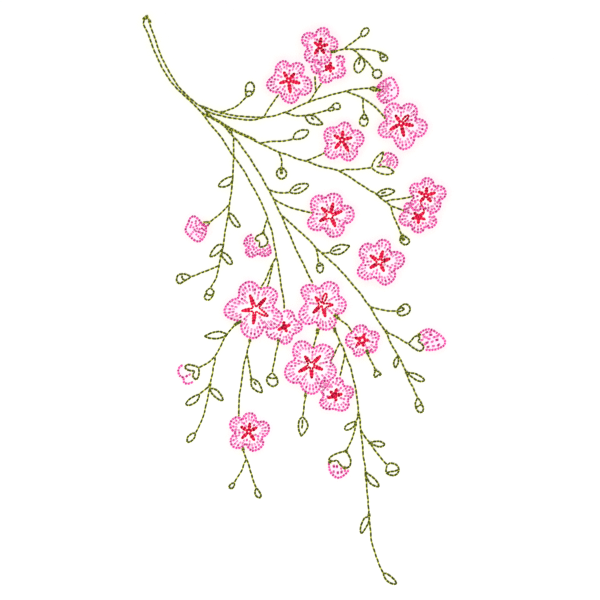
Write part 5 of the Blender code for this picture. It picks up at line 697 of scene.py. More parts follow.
for name, (outline, centre, tips) in BLOSSOMS.items():
    w = works[name + "_petals"] = Work()
    centre = np.array(centre, float)
    lines, _ = runs(outline)
    closed, points, sharp = read(outline)
    for i, x in enumerate(lines):
        w.line(x, 3.15, PINK_R, shake=0.1)
        petal_rows(w, x, centre, not closed and i in (0, len(lines) - 1))
    for p in points[sharp]:
        notch_row(w, p, centre)

    w = works[name + "_star"] = Work()
    ends = read(tips)[1]
    turn = np.arctan2(ends[:, 1] - centre[1], ends[:, 0] - centre[0])
    ends = ends[np.argsort(turn)]
    turn = np.sort(turn)
    arm = np.linalg.norm(ends - centre, axis=1)
    between = []
    if name in STAR_MIDDLES:
        known = read(STAR_MIDDLES[name])[1]
        angles = np.arctan2(known[:, 1] - centre[1], known[:, 0] - centre[0])
    for i in range(len(ends)):
        gap = (turn[(i + 1) % len(ends)] - turn[i]) % (2 * math.pi)
        a = turn[i] + gap / 2
        corner = centre + np.array([math.cos(a), math.sin(a)]) * arm.mean() * (0.07 if gap < 2 else 0.12)
        if name in STAR_MIDDLES:
            off = np.abs((angles - a + math.pi) % (2 * math.pi) - math.pi)
            if off.min() < 0.5:
                corner = centre + (known[off.argmin()] - centre) * MIDDLE_SIZE.get(name, 1.0)
        between.append(corner)
    for i, tip in enumerate(ends):
        d = (tip - centre) / np.linalg.norm(tip - centre)
        side = np.array([-d[1], d[0]])
        apart = 0.85 if arm.mean() < 9.5 else 0.78
        for open_tip, much in OPEN_ARMS.get(name, []):
            if np.linalg.norm(tip - np.array(open_tip)) < 1.5:
                apart = much
        n = max(2, round(arm[i] / 3.3))
        tones = dice.random(n)
        for sign, corner in ((-1, between[i - 1]), (1, between[i])):
            end = tip + d * 0.1 + side * sign * 0.12
            bulge = centre + d * 0.62 * arm[i] + side * sign * apart
            arm_line = smooth(np.array([corner, bulge, end]))
            holes = at(arm_line, np.linspace(0, along_line(arm_line)[-1], n + 1))
            for k in range(n):
                thick = (0.84 if apart > 0.9 else 1.0) * (1.1 if arm[i] > 11.5 else 1.0)
                thick *= 0.96 if k == n - 1 else 0.72 if k == 0 and n > 2 else 0.98 if k == 1 and n > 3 else 1.06
                w.one(holes[k], holes[k + 1], RED_R * thick, tone=np.clip(tones[k] + dice.normal(0, 0.12), 0, 1),
                      rise=0.05 * (i % 2), point=0.62 if k == n - 1 else 0.0)
    if name not in STAR_MIDDLES and arm.mean() < 8:
        for degrees, tone in ((turn[0], 0.08), (turn[1], 0.5)):          # thread that crosses the middle
            w.dot(centre, math.degrees(degrees), 2.6, RED_R * 0.8, tone=tone, rise=0.16)
    if name in CARRIED:
        w.line(smooth(read(CARRIED[name])[1]), 5.4, RED_R * 0.74, tone=0.35)

for name, text in MORE_PETAL_STITCHES.items():
    centre = np.array(BLOSSOMS[name][1], float)
    for p in read(text)[1]:
        d = centre - p
        works[name + "_petals"].dot(p, math.degrees(math.atan2(d[1], d[0])) + dice.normal(0, 8), 3.0, PINK_R * 0.94,
                                    fade=0.05 + 0.25 * dice.random())

for name, outline in PINK_BUDS.items():
    w = works[name] = Work()
    lines, _ = runs(outline)
    for x in lines:
        w.line(x, 3.0, PINK_R, shake=0.1)
    whole = np.vstack(lines)
    text, degrees, long = BUD_STITCHES[name]
    for p, strong in zip(*read(text)[1:]):
        w.dot(p, degrees + dice.normal(0, 8), long * (1.1 if strong else 1), PINK_R * (1.08 if strong else 0.97),
              fade=0.0 if strong else 0.04 + 0.2 * dice.random(), tone=0.14 if strong else None)

# ---------------------------------------------------------------- how the cloth lies

UNIT_MM = UNIT


def place(points):
    p = np.asarray(points, float)
    return np.stack([(p[..., 0] - CENTRE) * UNIT_MM, (CENTRE - p[..., 1]) * UNIT_MM], -1)


CELL = 0.75                                   # of the fields below
COUNT = int(SIDE / CELL) + 1


def spread(values, sigma):
    """A Gaussian blur of a field, by its transform."""
    f = np.fft.fftfreq(COUNT, CELL)
    k = np.exp(-2 * (math.pi * sigma) ** 2 * (f[:, None] ** 2 + f[None] ** 2))
    return np.real(np.fft.ifft2(np.fft.fft2(values) * k))


def laid_thread(keys):
    """Millimetres of thread in each cell."""
    found = np.zeros((COUNT, COUNT))
    for key in keys:
        w = works[key]
        a, b = place(w.a), place(w.b)
        long = np.linalg.norm(b - a, axis=1)
        for t in (0.17, 0.5, 0.83):
            p = (a + (b - a) * t + SIDE / 2) / CELL
            i = np.clip(np.round(p).astype(int), 0, COUNT - 1)
            np.add.at(found, (i[:, 0], i[:, 1]), long / 3)
    return found


pinks = [k for k in works if not k.startswith("green_") and not k.endswith("_star")]
reds = [k for k in works if k.endswith("_star")]
greens = [k for k in works if k.startswith("green_")]
all_thread = laid_thread(works)
pink_thread = laid_thread(pinks)
red_thread = laid_thread(reds)
ax = np.arange(COUNT) * CELL - SIDE / 2
gx, gy = np.meshgrid(ax, ax, indexing="ij")
edge_x, edge_y = SIDE / 2 - np.abs(gx), SIDE / 2 - np.abs(gy)

lines_here = spread(all_thread, 1.25) / CELL**2            # mm of thread in a square mm
pulled = 0.13 * (1 - np.exp(-6.0 * lines_here))
sewn_area = np.clip(spread(all_thread, 9.0) / CELL**2 * 9, 0, 1)
waves = np.zeros((COUNT, COUNT))
for k in range(26):
    a, long, phase = dice.random() * math.pi, 9 + 17 * dice.random(), dice.random() * 6.283
    waves += np.sin(2 * math.pi * (gx * math.cos(a) + gy * math.sin(a)) / long + phase) / 26**0.5
puckers = 0.17 * sewn_area * waves
slow = np.zeros((COUNT, COUNT))
for k in range(12):
    a, long, phase = dice.random() * math.pi, 55 + 90 * dice.random(), dice.random() * 6.283
    slow += np.sin(2 * math.pi * (gx * math.cos(a) + gy * math.sin(a)) / long + phase) / 12**0.5
slow = 0.30 * (slow - slow.min()) / 2
rim = (
    1.5 * np.exp(-edge_x / 17) * (0.5 + 0.5 * np.sin(2 * math.pi * gy / 83 + 1.9 * np.sign(gx) + 0.4))
    + 1.3 * np.exp(-edge_y / 17) * (0.5 + 0.5 * np.sin(2 * math.pi * gx / 71 + 2.6 * np.sign(gy) - 0.8))
    + 1.6 * np.exp(-np.hypot(edge_x, edge_y) / 15) * (1 + 0.5 * np.sign(gx) * np.sign(gy + gx * 0.3))
)
hem_puckers = 0.06 * np.exp(-((np.minimum(edge_x, edge_y) - HEM_SEAM) / 3.2) ** 2) * (
    np.sin(2 * math.pi * gx / 10.5) + np.sin(2 * math.pi * gy / 11.5))
lift_field = slow + rim + puckers + hem_puckers - pulled
lift_field -= lift_field.min()

petal_area, bud_area = np.zeros((COUNT, COUNT)), np.zeros((COUNT, COUNT))
for text in [b[0] for b in BLOSSOMS.values()] + list(PINK_BUDS.values()):
    area = petal_area if text not in PINK_BUDS.values() or text == PINK_BUDS["bud_lower_left"] else bud_area
    rim_line = place(np.vstack(runs(text)[0]))
    first = np.clip(((rim_line.min(0) + SIDE / 2) / CELL).astype(int), 0, COUNT - 1)
    last = np.clip(((rim_line.max(0) + SIDE / 2) / CELL).astype(int) + 2, 0, COUNT)
    cells = np.stack([gx[first[0]:last[0], first[1]:last[1]], gy[first[0]:last[0], first[1]:last[1]]], -1)
    area[first[0]:last[0], first[1]:last[1]] += inside(cells.reshape(-1, 2), rim_line).reshape(cells.shape[:2])
bud_area = np.clip(spread(np.minimum(bud_area, 1), 0.6), 0, 1)
petal_area = np.clip(spread(np.minimum(petal_area, 1), 0.6) + bud_area, 0, 1)
close_by = 1 - np.exp(-3.4 * spread(pink_thread, 1.3) / CELL**2)
# the pink thread's painted shadow, shifted a cell towards +x and +y
painted_offset_shadow = np.roll(close_by, (1, 1), (0, 1))
# painted pink reflection on the cloth inside the petals and buds, and the painted shadow beside the blossoms
painted_pink_reflection = petal_area * (0.30 + 0.70 * close_by) + 0.32 * (1 - petal_area) * painted_offset_shadow
painted_pink_reflection = np.clip(np.maximum(painted_pink_reflection, bud_area * (0.36 + 0.64 * close_by)), 0, 1)
# painted pink reflection and shade around the blossoms, outside the petals
painted_blossom_reflection = (1 - petal_area) * (1 - np.exp(-5.0 * spread(pink_thread + red_thread, 1.9) / CELL**2))
# painted red reflection near the stars
painted_red_reflection = np.clip(1 - np.exp(-3.0 * spread(red_thread, 2.0) / CELL**2), 0, 1)
# painted shade tinted by the green thread
painted_green_shade = np.clip(1 - np.exp(-2.0 * spread(laid_thread(greens), 1.3) / CELL**2), 0, 1)
# painted shade near all thread, outside the petals
painted_thread_shade = (1 - petal_area) * (1 - np.exp(-2.2 * spread(all_thread, 3.0) / CELL**2))


def sampled(field, x, y):
    fx, fy = (np.asarray(x) + SIDE / 2) / CELL, (np.asarray(y) + SIDE / 2) / CELL
    ix = np.clip(np.floor(fx).astype(int), 0, COUNT - 2)
    iy = np.clip(np.floor(fy).astype(int), 0, COUNT - 2)
    tx, ty = np.clip(fx - ix, 0, 1), np.clip(fy - iy, 0, 1)
    return ((field[ix, iy] * (1 - tx) + field[ix + 1, iy] * tx) * (1 - ty)
            + (field[ix, iy + 1] * (1 - tx) + field[ix + 1, iy + 1] * tx) * ty)


def lift(x, y):
    return sampled(lift_field, x, y)


# ---------------------------------------------------------------- meshes from arrays

def mesh_of(name, points, quads, ngons=None):
    """A smooth-shaded mesh. points in mm; quads (n, 4); ngons (m, k)."""
    me = bpy.data.meshes.new(name)
    me.vertices.add(len(points))
    me.vertices.foreach_set("co", (np.asarray(points, float) * MM).astype(np.float32).ravel())
    parts = [quads] + ([] if ngons is None or not len(ngons) else [ngons])
    loops = np.concatenate([p.ravel() for p in parts])
    starts, offset = [], 0
    for p in parts:
        starts.append(offset + np.arange(len(p)) * p.shape[1])
        offset += p.size
    starts = np.concatenate(starts)
    me.loops.add(len(loops))
    me.loops.foreach_set("vertex_index", loops.astype(np.int32))
    me.polygons.add(len(starts))
    me.polygons.foreach_set("loop_start", starts.astype(np.int32))
    me.update(calc_edges=True)
    me.polygons.foreach_set("use_smooth", np.ones(len(starts), bool))
    obj = bpy.data.objects.new(name, me)
    bpy.context.scene.collection.objects.link(obj)
    return obj


def number_on(obj, name, values):
    obj.data.attributes.new(name, "FLOAT", "POINT").data.foreach_set("value", np.asarray(values, np.float32).ravel())


# along the stitch: where, how thick, how high above the cloth
T_FACE = np.array([0.0, 0.05, 0.13, 0.26, 0.5, 0.74, 0.87, 0.95, 1.0])
R_FACE = np.array([0.60, 0.84, 0.94, 1.0, 1.0, 1.0, 0.94, 0.84, 0.60])
Z_FACE = np.array([-0.20, -0.08, 0.07, 0.13, 0.15, 0.13, 0.07, -0.08, -0.20])
T_BACK = np.array([0.0, 0.12, 0.5, 0.88, 1.0])
R_BACK = np.array([0.4, 1.0, 1.0, 1.0, 0.4])
FLAT = 0.54                                   # a thread's height to its width, pressed by its own pull


def tubes(a, b, r, rise, t, thick, high, sides, flat, base, bow, point=None):
    """Points (n, rings, sides, 3) of one tube for each stitch."""
    d = b - a
    long = np.linalg.norm(d, axis=1)
    d = d / long[:, None]
    across = np.stack([-d[:, 1], d[:, 0]], 1)
    c = a[:, None] + (b - a)[:, None] * t[None, :, None]
    c = c + across[:, None] * (bow[:, None] * np.sin(math.pi * t)[None])[..., None]
    ground = lift(c[..., 0], c[..., 1]) + base
    z = ground + high[None] + rise[:, None] * np.sin(math.pi * t)[None] ** 0.5
    angle = (np.arange(sides) + 0.5) * 2 * math.pi / sides
    w = r[:, None] * thick[None]
    if point is not None:
        w = w * (1 - np.abs(point)[:, None] * np.where(point[:, None] > 0, t[None], 1 - t[None]) ** 2)
    points = np.empty((len(a), len(t), sides, 3))
    points[..., 0] = c[..., 0, None] + across[:, None, None, 0] * w[..., None] * np.cos(angle)
    points[..., 1] = c[..., 1, None] + across[:, None, None, 1] * w[..., None] * np.cos(angle)
    points[..., 2] = z[..., None] + w[..., None] * flat * np.sin(angle)
    return points, long


def tube_faces(n, rings, sides, first=0):
    base = first + np.arange(n)[:, None, None] * rings * sides
    ring = np.arange(rings - 1)[None, :, None] * sides
    side = np.arange(sides)[None, None]
    after = (side + 1) % sides
    quads = np.stack([base + ring + side, base + ring + after, base + ring + sides + after,
                      base + ring + sides + side], -1).reshape(-1, 4)
    caps = np.concatenate([
        (first + np.arange(n)[:, None] * rings * sides + np.arange(sides)[None, ::-1]),
        (first + np.arange(n)[:, None] * rings * sides + (rings - 1) * sides + np.arange(sides)[None]),
    ])
    return quads, caps


def stitched(name, w, colour, back_colour, base=FACE, back=BACK, spare=1.0):
    """All of one piece's stitches, with the finer thread that holds them on the back."""
    a, b = place(w.a), place(w.b)
    r, rise = np.array(w.r) * UNIT_MM, np.array(w.rise)
    n = len(a)
    bow = dice.normal(0, 0.035, n)
    even = name.startswith("green_")          # long even stitches go down into the cloth less steeply
    high = Z_FACE * 0.5 + 0.07 if even else Z_FACE
    points, long = tubes(a, b, r, rise, T_FACE, R_FACE**0.4 if even else R_FACE, high, 6, FLAT, base, bow,
                         np.array(w.point))
    # thin thread lies lower
    points[..., 2] += (r - 0.3)[:, None, None] * FLAT * np.sin(math.pi * T_FACE)[None, :, None] ** 0.4
    rings, sides = len(T_FACE), 6
    quads, caps = tube_faces(n, rings, sides)
    below, _ = tubes(a, b, np.full(n, 0.11), np.zeros(n), T_BACK, R_BACK,
                     np.array([0.06, -0.07, -0.085, -0.07, 0.06]), 4, 0.75, back, bow * 0)
    first = n * rings * sides
    quads2, caps2 = tube_faces(n, len(T_BACK), 4, first)
    obj = mesh_of(name, np.concatenate([points.reshape(-1, 3), below.reshape(-1, 3)]),
                  np.concatenate([quads, quads2, caps2]), caps)
    mid = 1 - np.abs(2 * T_FACE - 1)
    per = lambda v: np.repeat(np.asarray(v, float), rings * sides)
    per2 = lambda v: np.repeat(np.asarray(v, float), len(T_BACK) * 4)
    # mid runs from 0 at the needle holes to 1 at a stitch's middle; the thread materials paint highlight and shade from
    # it
    number_on(obj, "mid", np.concatenate([np.repeat(mid[None] ** np.array(w.ends)[:, None], sides, 1).ravel(),
                                          np.tile(np.repeat(1 - np.abs(2 * T_BACK - 1), 4), n)]))
    number_on(obj, "tone", np.concatenate([per(w.tone), per2(w.tone)]))
    number_on(obj, "fade", np.concatenate([per(np.clip(w.fade, 0, 1)), per2(np.zeros(n))]))

    # the thread's own coordinates, for its twist: millimetres along, turns around
    nq, nq2, nc2, nc = len(quads), len(quads2), len(caps2), len(caps)
    around = np.arange(sides) / sides
    la = long[:, None] * T_FACE[None]
    wind = np.zeros((nq * 4 + nq2 * 4 + nc2 * 4 + nc * sides, 3), np.float32)
    u = np.empty((n, rings - 1, sides, 4))
    u[..., 0] = u[..., 1] = la[:, :-1, None]
    u[..., 2] = u[..., 3] = la[:, 1:, None]
    v = np.empty((n, rings - 1, sides, 4))
    v[..., 0] = v[..., 3] = around
    v[..., 1] = v[..., 2] = around + 1 / sides
    wind[:nq * 4, 0], wind[:nq * 4, 1] = u.ravel(), v.ravel()
    obj.data.attributes.new("wind", "FLOAT_VECTOR", "CORNER").data.foreach_set("vector", wind.ravel())

    # each stitch has a cell of its own in the map, and the threads on the back share the last row
    wide = max(1, int(math.ceil((n / 2.2) ** 0.5)))
    tall = int(math.ceil(n / wide)) + 1
    col, row = np.arange(n) % wide, np.arange(n) // wide
    flat_map = np.zeros((len(wind), 2), np.float32)
    uu = (col[:, None, None, None] + 0.04 + 0.84 * u / long[:, None, None, None]) / wide
    vv = (row[:, None, None, None] + 0.06 + 0.88 * v) / tall
    flat_map[:nq * 4, 0], flat_map[:nq * 4, 1] = uu.ravel(), vv.ravel()
    q = np.array([[0.0, 0.0], [0.0, 1.0], [1.0, 1.0], [1.0, 0.0]])
    low = np.array([0.02, (tall - 1 + 0.1) / tall])
    span = np.array([0.96, 0.8 / tall])
    k = np.arange(nq2)
    strip = (k % ((len(T_BACK) - 1) * 4)) / ((len(T_BACK) - 1) * 4)
    back_uv = low + span * (np.stack([strip, np.zeros(nq2)], 1)[:, None]
                            + q[None] * np.array([1 / ((len(T_BACK) - 1) * 4), 1.0]))
    flat_map[nq * 4:nq * 4 + nq2 * 4] = back_uv.reshape(-1, 2)
    flat_map[nq * 4 + nq2 * 4:nq * 4 + nq2 * 4 + nc2 * 4] = (
        low + span * (q[None] * 0.05).repeat(nc2, 0)).reshape(-1, 2)
    ring = np.stack([np.cos(np.arange(sides) * 2 * math.pi / sides), np.sin(np.arange(sides) * 2 * math.pi / sides)], 1)
    who = np.tile(np.arange(n), 2)
    cap_mid = np.stack([(col[who] + 0.94) / wide, (row[who] + 0.5) / tall], 1)
    flat_map[-nc * sides:] = (cap_mid[:, None] + ring[None] * np.array([0.035 / wide, 0.3 / tall])).reshape(-1, 2)
    obj.data.uv_layers.new(name="OFBake").uv.foreach_set("vector", flat_map.ravel())

    obj.data.materials.append(colour)
    obj.data.materials.append(back_colour)
    index = np.zeros(nq + nq2 + nc2 + nc, np.int32)
    index[nq:nq + nq2 + nc2] = 1
    obj.data.polygons.foreach_set("material_index", index)
    return obj


# ---------------------------------------------------------------- materials

class Nodes:
    """A material with short calls for its nodes."""

    def __init__(self, name):
        self.mat = bpy.data.materials.new(name)
        self.mat.use_nodes = True
        self.tree = self.mat.node_tree
        self.main = next(n for n in self.tree.nodes if n.type == "BSDF_PRINCIPLED")

    def add(self, kind, **given):
        node = self.tree.nodes.new(kind)
        for key, value in given.items():
            setattr(node, key, value)
        return node

    def feed(self, socket, value):
        if isinstance(value, bpy.types.NodeSocket):
            self.tree.links.new(value, socket)
        elif value is not None:
            socket.default_value = value

    def number(self, name):
        return self.add("ShaderNodeAttribute", attribute_name=name).outputs["Fac"]

    def vector(self, name):
        return self.add("ShaderNodeAttribute", attribute_name=name).outputs["Vector"]

    def maths(self, operation, a, b=None, c=None):
        node = self.add("ShaderNodeMath", operation=operation)
        for socket, value in zip(node.inputs, (a, b, c)):
            self.feed(socket, value)
        return node.outputs[0]

    def ramp(self, value, stops, smooth=False):
        node = self.add("ShaderNodeValToRGB")
        node.color_ramp.interpolation = "EASE" if smooth else "LINEAR"
        elements = node.color_ramp.elements
        while len(elements) < len(stops):
            elements.new(0.5)
        for element, (place_, colour) in zip(elements, stops):
            element.position = place_
            element.color = (*colour, 1)
        self.feed(node.inputs[0], value)
        return node.outputs[0]

    def mix(self, share, a, b, blend="MIX"):
        node = self.add("ShaderNodeMix", data_type="RGBA", blend_type=blend)
        self.feed(node.inputs[0], share)
        for socket, value in ((node.inputs[6], a), (node.inputs[7], b)):
            self.feed(socket, value if isinstance(value, bpy.types.NodeSocket) else (*value, 1))
        return node.outputs[2]

    def noise(self, scale, detail=2.0, vector=None):
        node = self.add("ShaderNodeTexNoise")
        self.feed(node.inputs["Vector"], vector or self.add("ShaderNodeTexCoord").outputs["Object"])
        node.inputs["Scale"].default_value = scale
        node.inputs["Detail"].default_value = detail
        return node.outputs["Fac"]

    def bump(self, height, distance, strength=1.0, normal=None):
        node = self.add("ShaderNodeBump")
        node.inputs["Strength"].default_value = strength
        node.inputs["Distance"].default_value = distance
        self.feed(node.inputs["Height"], height)
        if normal is not None:
            self.feed(node.inputs["Normal"], normal)
        return node.outputs["Normal"]


def thread(name, stops, pale, dark, share=0.85, skew=2.0, rough=0.42, sheen=0.25, sheen_tint=(1, 1, 1), specular=0.35, twist=0.55):
    """Two-ply twisted thread. stops run from the needle hole to the middle of the stitch and paint its highlight and
    shade; dark is a painted shade for the stitch's middle.
    """
    m = Nodes(name)
    mid, tone, fade = m.number("mid"), m.number("tone"), m.number("fade")
    wander = m.noise(900.0, 1.0)
    shifted = m.maths("ADD", mid, m.maths("MULTIPLY", m.maths("SUBTRACT", wander, 0.5), 0.25))
    # painted highlight and shade along the stitch
    colour = m.ramp(shifted, stops)
    low = m.maths("MULTIPLY", m.maths("POWER", m.maths("SUBTRACT", 1.0, tone), skew), share)
    # painted shade in the stitch's middle, more of it the lower the stitch's tone
    colour = m.mix(m.maths("MULTIPLY", low, m.maths("SMOOTH_MIN", mid, 0.9, 0.1)), colour, dark)
    colour = m.mix(m.maths("MULTIPLY", fade, 0.85), colour, pale)
    fibre = m.noise(5200.0, 2.0)
    colour = m.mix(1.0, colour, m.ramp(fibre, [(0.25, (0.84, 0.84, 0.84)), (0.75, (1, 1, 1))]), "MULTIPLY")
    m.feed(m.main.inputs["Base Color"], colour)
    wind = m.add("ShaderNodeSeparateXYZ")
    m.feed(wind.inputs[0], m.vector("wind"))
    ply = m.maths("ADD", m.maths("MULTIPLY", wind.outputs[0], 1 / twist), m.maths("MULTIPLY", wind.outputs[1], 2.0))
    ridge = m.maths("ABSOLUTE", m.maths("SINE", m.maths("MULTIPLY", ply, math.pi)))
    height = m.maths("ADD", ridge, m.maths("MULTIPLY", fibre, 0.25))
    m.feed(m.main.inputs["Normal"], m.bump(height, 0.00006, 0.8))
    m.feed(m.main.inputs["Roughness"], m.maths("ADD", m.maths("MULTIPLY", fibre, 0.16), rough - 0.08))
    m.main.inputs["Specular IOR Level"].default_value = specular
    m.main.inputs["Sheen Weight"].default_value = sheen
    m.main.inputs["Sheen Roughness"].default_value = 0.4
    m.main.inputs["Sheen Tint"].default_value = (*sheen_tint, 1)
    return m.mat


# The stops paint highlights at a stitch's ends and shade towards its middle (the white thread's stops paint shade at
# its ends); the dark colours are painted shade.
green = thread("olive_thread", [(0.0, (0.70, 0.72, 0.12)), (0.27, (0.57, 0.60, 0.080)), (0.48, (0.125, 0.148, 0.006)),
                                (1.0, (0.082, 0.104, 0.004))],
               (0.62, 0.66, 0.12), (0.030, 0.046, 0.003), sheen=0.03, sheen_tint=(0.8, 0.9, 0.2), specular=0.1)
pink = thread("pink_thread", [(0.0, (1.0, 0.55, 0.84)), (0.28, (1.0, 0.46, 0.80)), (0.50, (1.0, 0.130, 0.515)),
                              (0.80, (0.99, 0.070, 0.39)), (1.0, (0.91, 0.047, 0.32))],
              (1.0, 0.66, 0.86), (0.25, 0.008, 0.072), share=1.0, skew=1.5, sheen=0.40, sheen_tint=(1, 0.35, 0.75), specular=0.12)
red = thread("crimson_thread", [(0.0, (1.0, 0.030, 0.14)), (0.44, (1.0, 0.022, 0.12)), (0.76, (0.76, 0.009, 0.052)),
                                (1.0, (0.52, 0.004, 0.027))],
             (1.0, 0.02, 0.13), (0.15, 0.001, 0.007), share=1.1, skew=1.8, sheen=0.0, specular=0.03)
white = thread("white_thread", [(0.0, (0.42, 0.41, 0.38)), (0.22, (0.60, 0.59, 0.56)), (0.5, (0.84, 0.835, 0.81)),
                                (1.0, (0.90, 0.895, 0.875))],
               (0.9, 0.9, 0.9), (0.76, 0.75, 0.72), share=0.5, sheen=0.1)


def woven(name):
    """Plain-woven white cotton, with painted reflections of the threads' colour and painted shade on it beside the
    stitching.
    """
    m = Nodes(name)
    at_ = m.add("ShaderNodeTexCoord").outputs["Object"]
    split = m.add("ShaderNodeSeparateXYZ")
    m.feed(split.inputs[0], at_)
    wander = m.noise(160.0, 2.0)
    shift = m.maths("MULTIPLY", m.maths("SUBTRACT", wander, 0.5), 0.0006)
    pitch = 0.0007
    x = m.maths("SINE", m.maths("MULTIPLY", m.maths("ADD", split.outputs[0], shift), 2 * math.pi / pitch))
    y = m.maths("SINE", m.maths("MULTIPLY", m.maths("SUBTRACT", split.outputs[1], shift), 2 * math.pi / pitch))
    over = m.maths("MULTIPLY", x, y)
    yarn = m.noise(420.0, 3.0)
    height = m.maths("ADD", m.maths("MULTIPLY", over, 0.5), yarn)
    base = m.mix(m.maths("MULTIPLY", yarn, 1.0), (0.828, 0.827, 0.820), (0.868, 0.867, 0.863))
    # painted shade in the weave's low places
    base = m.mix(m.maths("MULTIPLY", m.maths("SUBTRACT", 1.0, over), 0.05), base, (0.73, 0.73, 0.72))
    # a darker tone towards the folded rim
    rim_tone = m.ramp(m.noise(55.0, 3.0), [(0.3, (0.735, 0.727, 0.705)), (0.7, (0.785, 0.780, 0.765))])
    base = m.mix(m.maths("MULTIPLY", m.number("rim"), 0.9), base, rim_tone)
    # painted shade in the hem's creases: the fold's inner step and the seam's dip
    base = m.mix(m.maths("MULTIPLY", m.number("crease_shade"), 0.62), base, (0.52, 0.51, 0.49))
    # painted shade on the cloth near all thread, outside the petals
    base = m.mix(m.maths("MULTIPLY", m.number("near"), 0.45), base, (0.845, 0.800, 0.735))
    # painted pink reflection and shade on the cloth around the blossoms
    base = m.mix(m.maths("MULTIPLY", m.number("painted_blossom_reflection"), 0.75), base, (0.87, 0.715, 0.685))
    # painted pink reflection inside the petals and buds, and the pink thread's painted shadow beside them
    base = m.mix(m.maths("MULTIPLY", m.number("pink"), 0.88), base, (1.0, 0.655, 0.85))
    # painted red reflection on the cloth by the stars
    base = m.mix(m.maths("MULTIPLY", m.number("red"), 0.78), base, (0.99, 0.81, 0.75))
    # painted shade, tinted by the green thread, on the cloth beside it
    base = m.mix(m.maths("MULTIPLY", m.number("green"), 0.62), base, (0.81, 0.82, 0.62))
    m.feed(m.main.inputs["Base Color"], base)
    m.feed(m.main.inputs["Normal"], m.bump(height, 0.00004, 0.6))
    m.feed(m.main.inputs["Roughness"], m.maths("ADD", m.maths("MULTIPLY", yarn, 0.12), 0.80))
    m.main.inputs["Specular IOR Level"].default_value = 0.2
    m.main.inputs["Sheen Weight"].default_value = 0.15
    m.main.inputs["Sheen Roughness"].default_value = 0.5
    return m.mat


cotton = woven("white_cotton")

# ---------------------------------------------------------------- the cloth

EDGE = [0, 0.05, 0.18, 0.36, 0.58, 1.4, 3.2, 5.2, 5.9, 6.4, 6.9, 7.75, 7.92, 8.07, 8.22, 8.4, 8.8, 9.6, 11.2, 13.2]


def grid_lines(middle, fine, coarse):
    half = SIDE / 2
    edge = np.array(EDGE)
    inner = half - edge[-1]
    n_out, n_in = int(round((inner - middle) / coarse)), int(round(2 * middle / fine))
    return np.concatenate([-half + edge[:-1], np.linspace(-inner, -middle, n_out + 1)[:-1],
                           np.linspace(-middle, middle, n_in + 1), np.linspace(middle, inner, n_out + 1)[1:],
                           half - edge[:-1][::-1]])


xs, ys = grid_lines(66, 1.35, 2.4), grid_lines(128, 1.35, 2.4)
X, Y = np.meshgrid(xs, ys, indexing="ij")
near = np.minimum(SIDE / 2 - np.abs(X), SIDE / 2 - np.abs(Y))
FOLD = HEM_FACE / 2
bend = np.sqrt(np.clip(FOLD**2 - (FOLD - np.minimum(near, FOLD)) ** 2, 0, None))


def eased(x, low, high):
    t = np.clip((x - low) / (high - low), 0, 1)
    return t * t * (3 - 2 * t)


# the hem's inner fold stands up from the single cloth, and its seam draws the layers together
seam_dip = np.exp(-((near - HEM_SEAM) / 0.6) ** 2)
top = np.where(near < FOLD, FOLD + bend, HEM_FACE) + (FACE - HEM_FACE) * eased(near, 7.88, 8.42) - 0.20 * seam_dip
low = np.where(near < FOLD, FOLD - bend, 0) + BACK * eased(near, 7.85, 8.2)
# folded corners are a little round
R = 1.6
cx, cy = np.abs(X) - (SIDE / 2 - R), np.abs(Y) - (SIDE / 2 - R)
corner = (cx > 0) & (cy > 0)
pull = np.where(corner, np.maximum(cx, cy) / np.maximum(np.hypot(cx, cy), 1e-9), 1)
PX = np.where(corner, np.sign(X) * (SIDE / 2 - R + cx * pull), X)
PY = np.where(corner, np.sign(Y) * (SIDE / 2 - R + cy * pull), Y)
raised = lift(PX, PY)
nx, ny = X.shape
upper = np.arange(nx * ny).reshape(nx, ny)
lower = np.full((nx, ny), -1)
lower[0], lower[-1], lower[:, 0], lower[:, -1] = upper[0], upper[-1], upper[:, 0], upper[:, -1]
free = lower < 0
lower[free] = nx * ny + np.arange(free.sum())
points = np.concatenate([
    np.stack([PX, PY, top + raised], -1).reshape(-1, 3),
    np.stack([PX[free], PY[free], (low + raised)[free]], -1),
])


def quads_of(index, turn):
    q = np.stack([index[:-1, :-1], index[1:, :-1], index[1:, 1:], index[:-1, 1:]], -1).reshape(-1, 4)
    return q[:, ::-1] if turn else q


cloth = mesh_of("hemmed_cloth", points, np.concatenate([quads_of(lower, True), quads_of(upper, False)]))
# painted shade and painted reflections of the threads' colour, stored on the cloth's points
for name, field in (("near", painted_thread_shade), ("painted_blossom_reflection", painted_blossom_reflection), ("pink", painted_pink_reflection), ("red", painted_red_reflection), ("green", painted_green_shade)):
    number_on(cloth, name, sampled(field, points[:, 0], points[:, 1]))
# the cloth is a little darker towards its folded rim, and painted shade darkens its creases
both = lambda values: np.concatenate([values.ravel(), values[free]])
number_on(cloth, "rim", both(1 - eased(near, 8.4, 16.0)))
number_on(cloth, "crease_shade", both(np.exp(-((near - 8.15) / 0.28) ** 2) + 0.55 * seam_dip))
corners_at = np.empty(len(cloth.data.loops), np.int32)
cloth.data.loops.foreach_get("vertex_index", corners_at)
cloth.data.uv_layers.new(name="OFBake").uv.foreach_set(
    "vector", (points[corners_at][:, :2] / SIDE * 0.995 + 0.5).astype(np.float32).ravel())
cloth.data.materials.append(cotton)
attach(cloth, "root")
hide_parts("ground_cloth")

# ---------------------------------------------------------------- the stitching, piece by piece

slots = {"green": ("green_thread", green), "star": ("red_thread", red), "pink": ("pink_thread", pink)}
for key, w in works.items():
    kind = "green" if key.startswith("green_") else "star" if key.endswith("_star") else "pink"
    obj = stitched(key + "_stitches", w, slots[kind][1], white)
    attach(obj, "root")
    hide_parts(key)

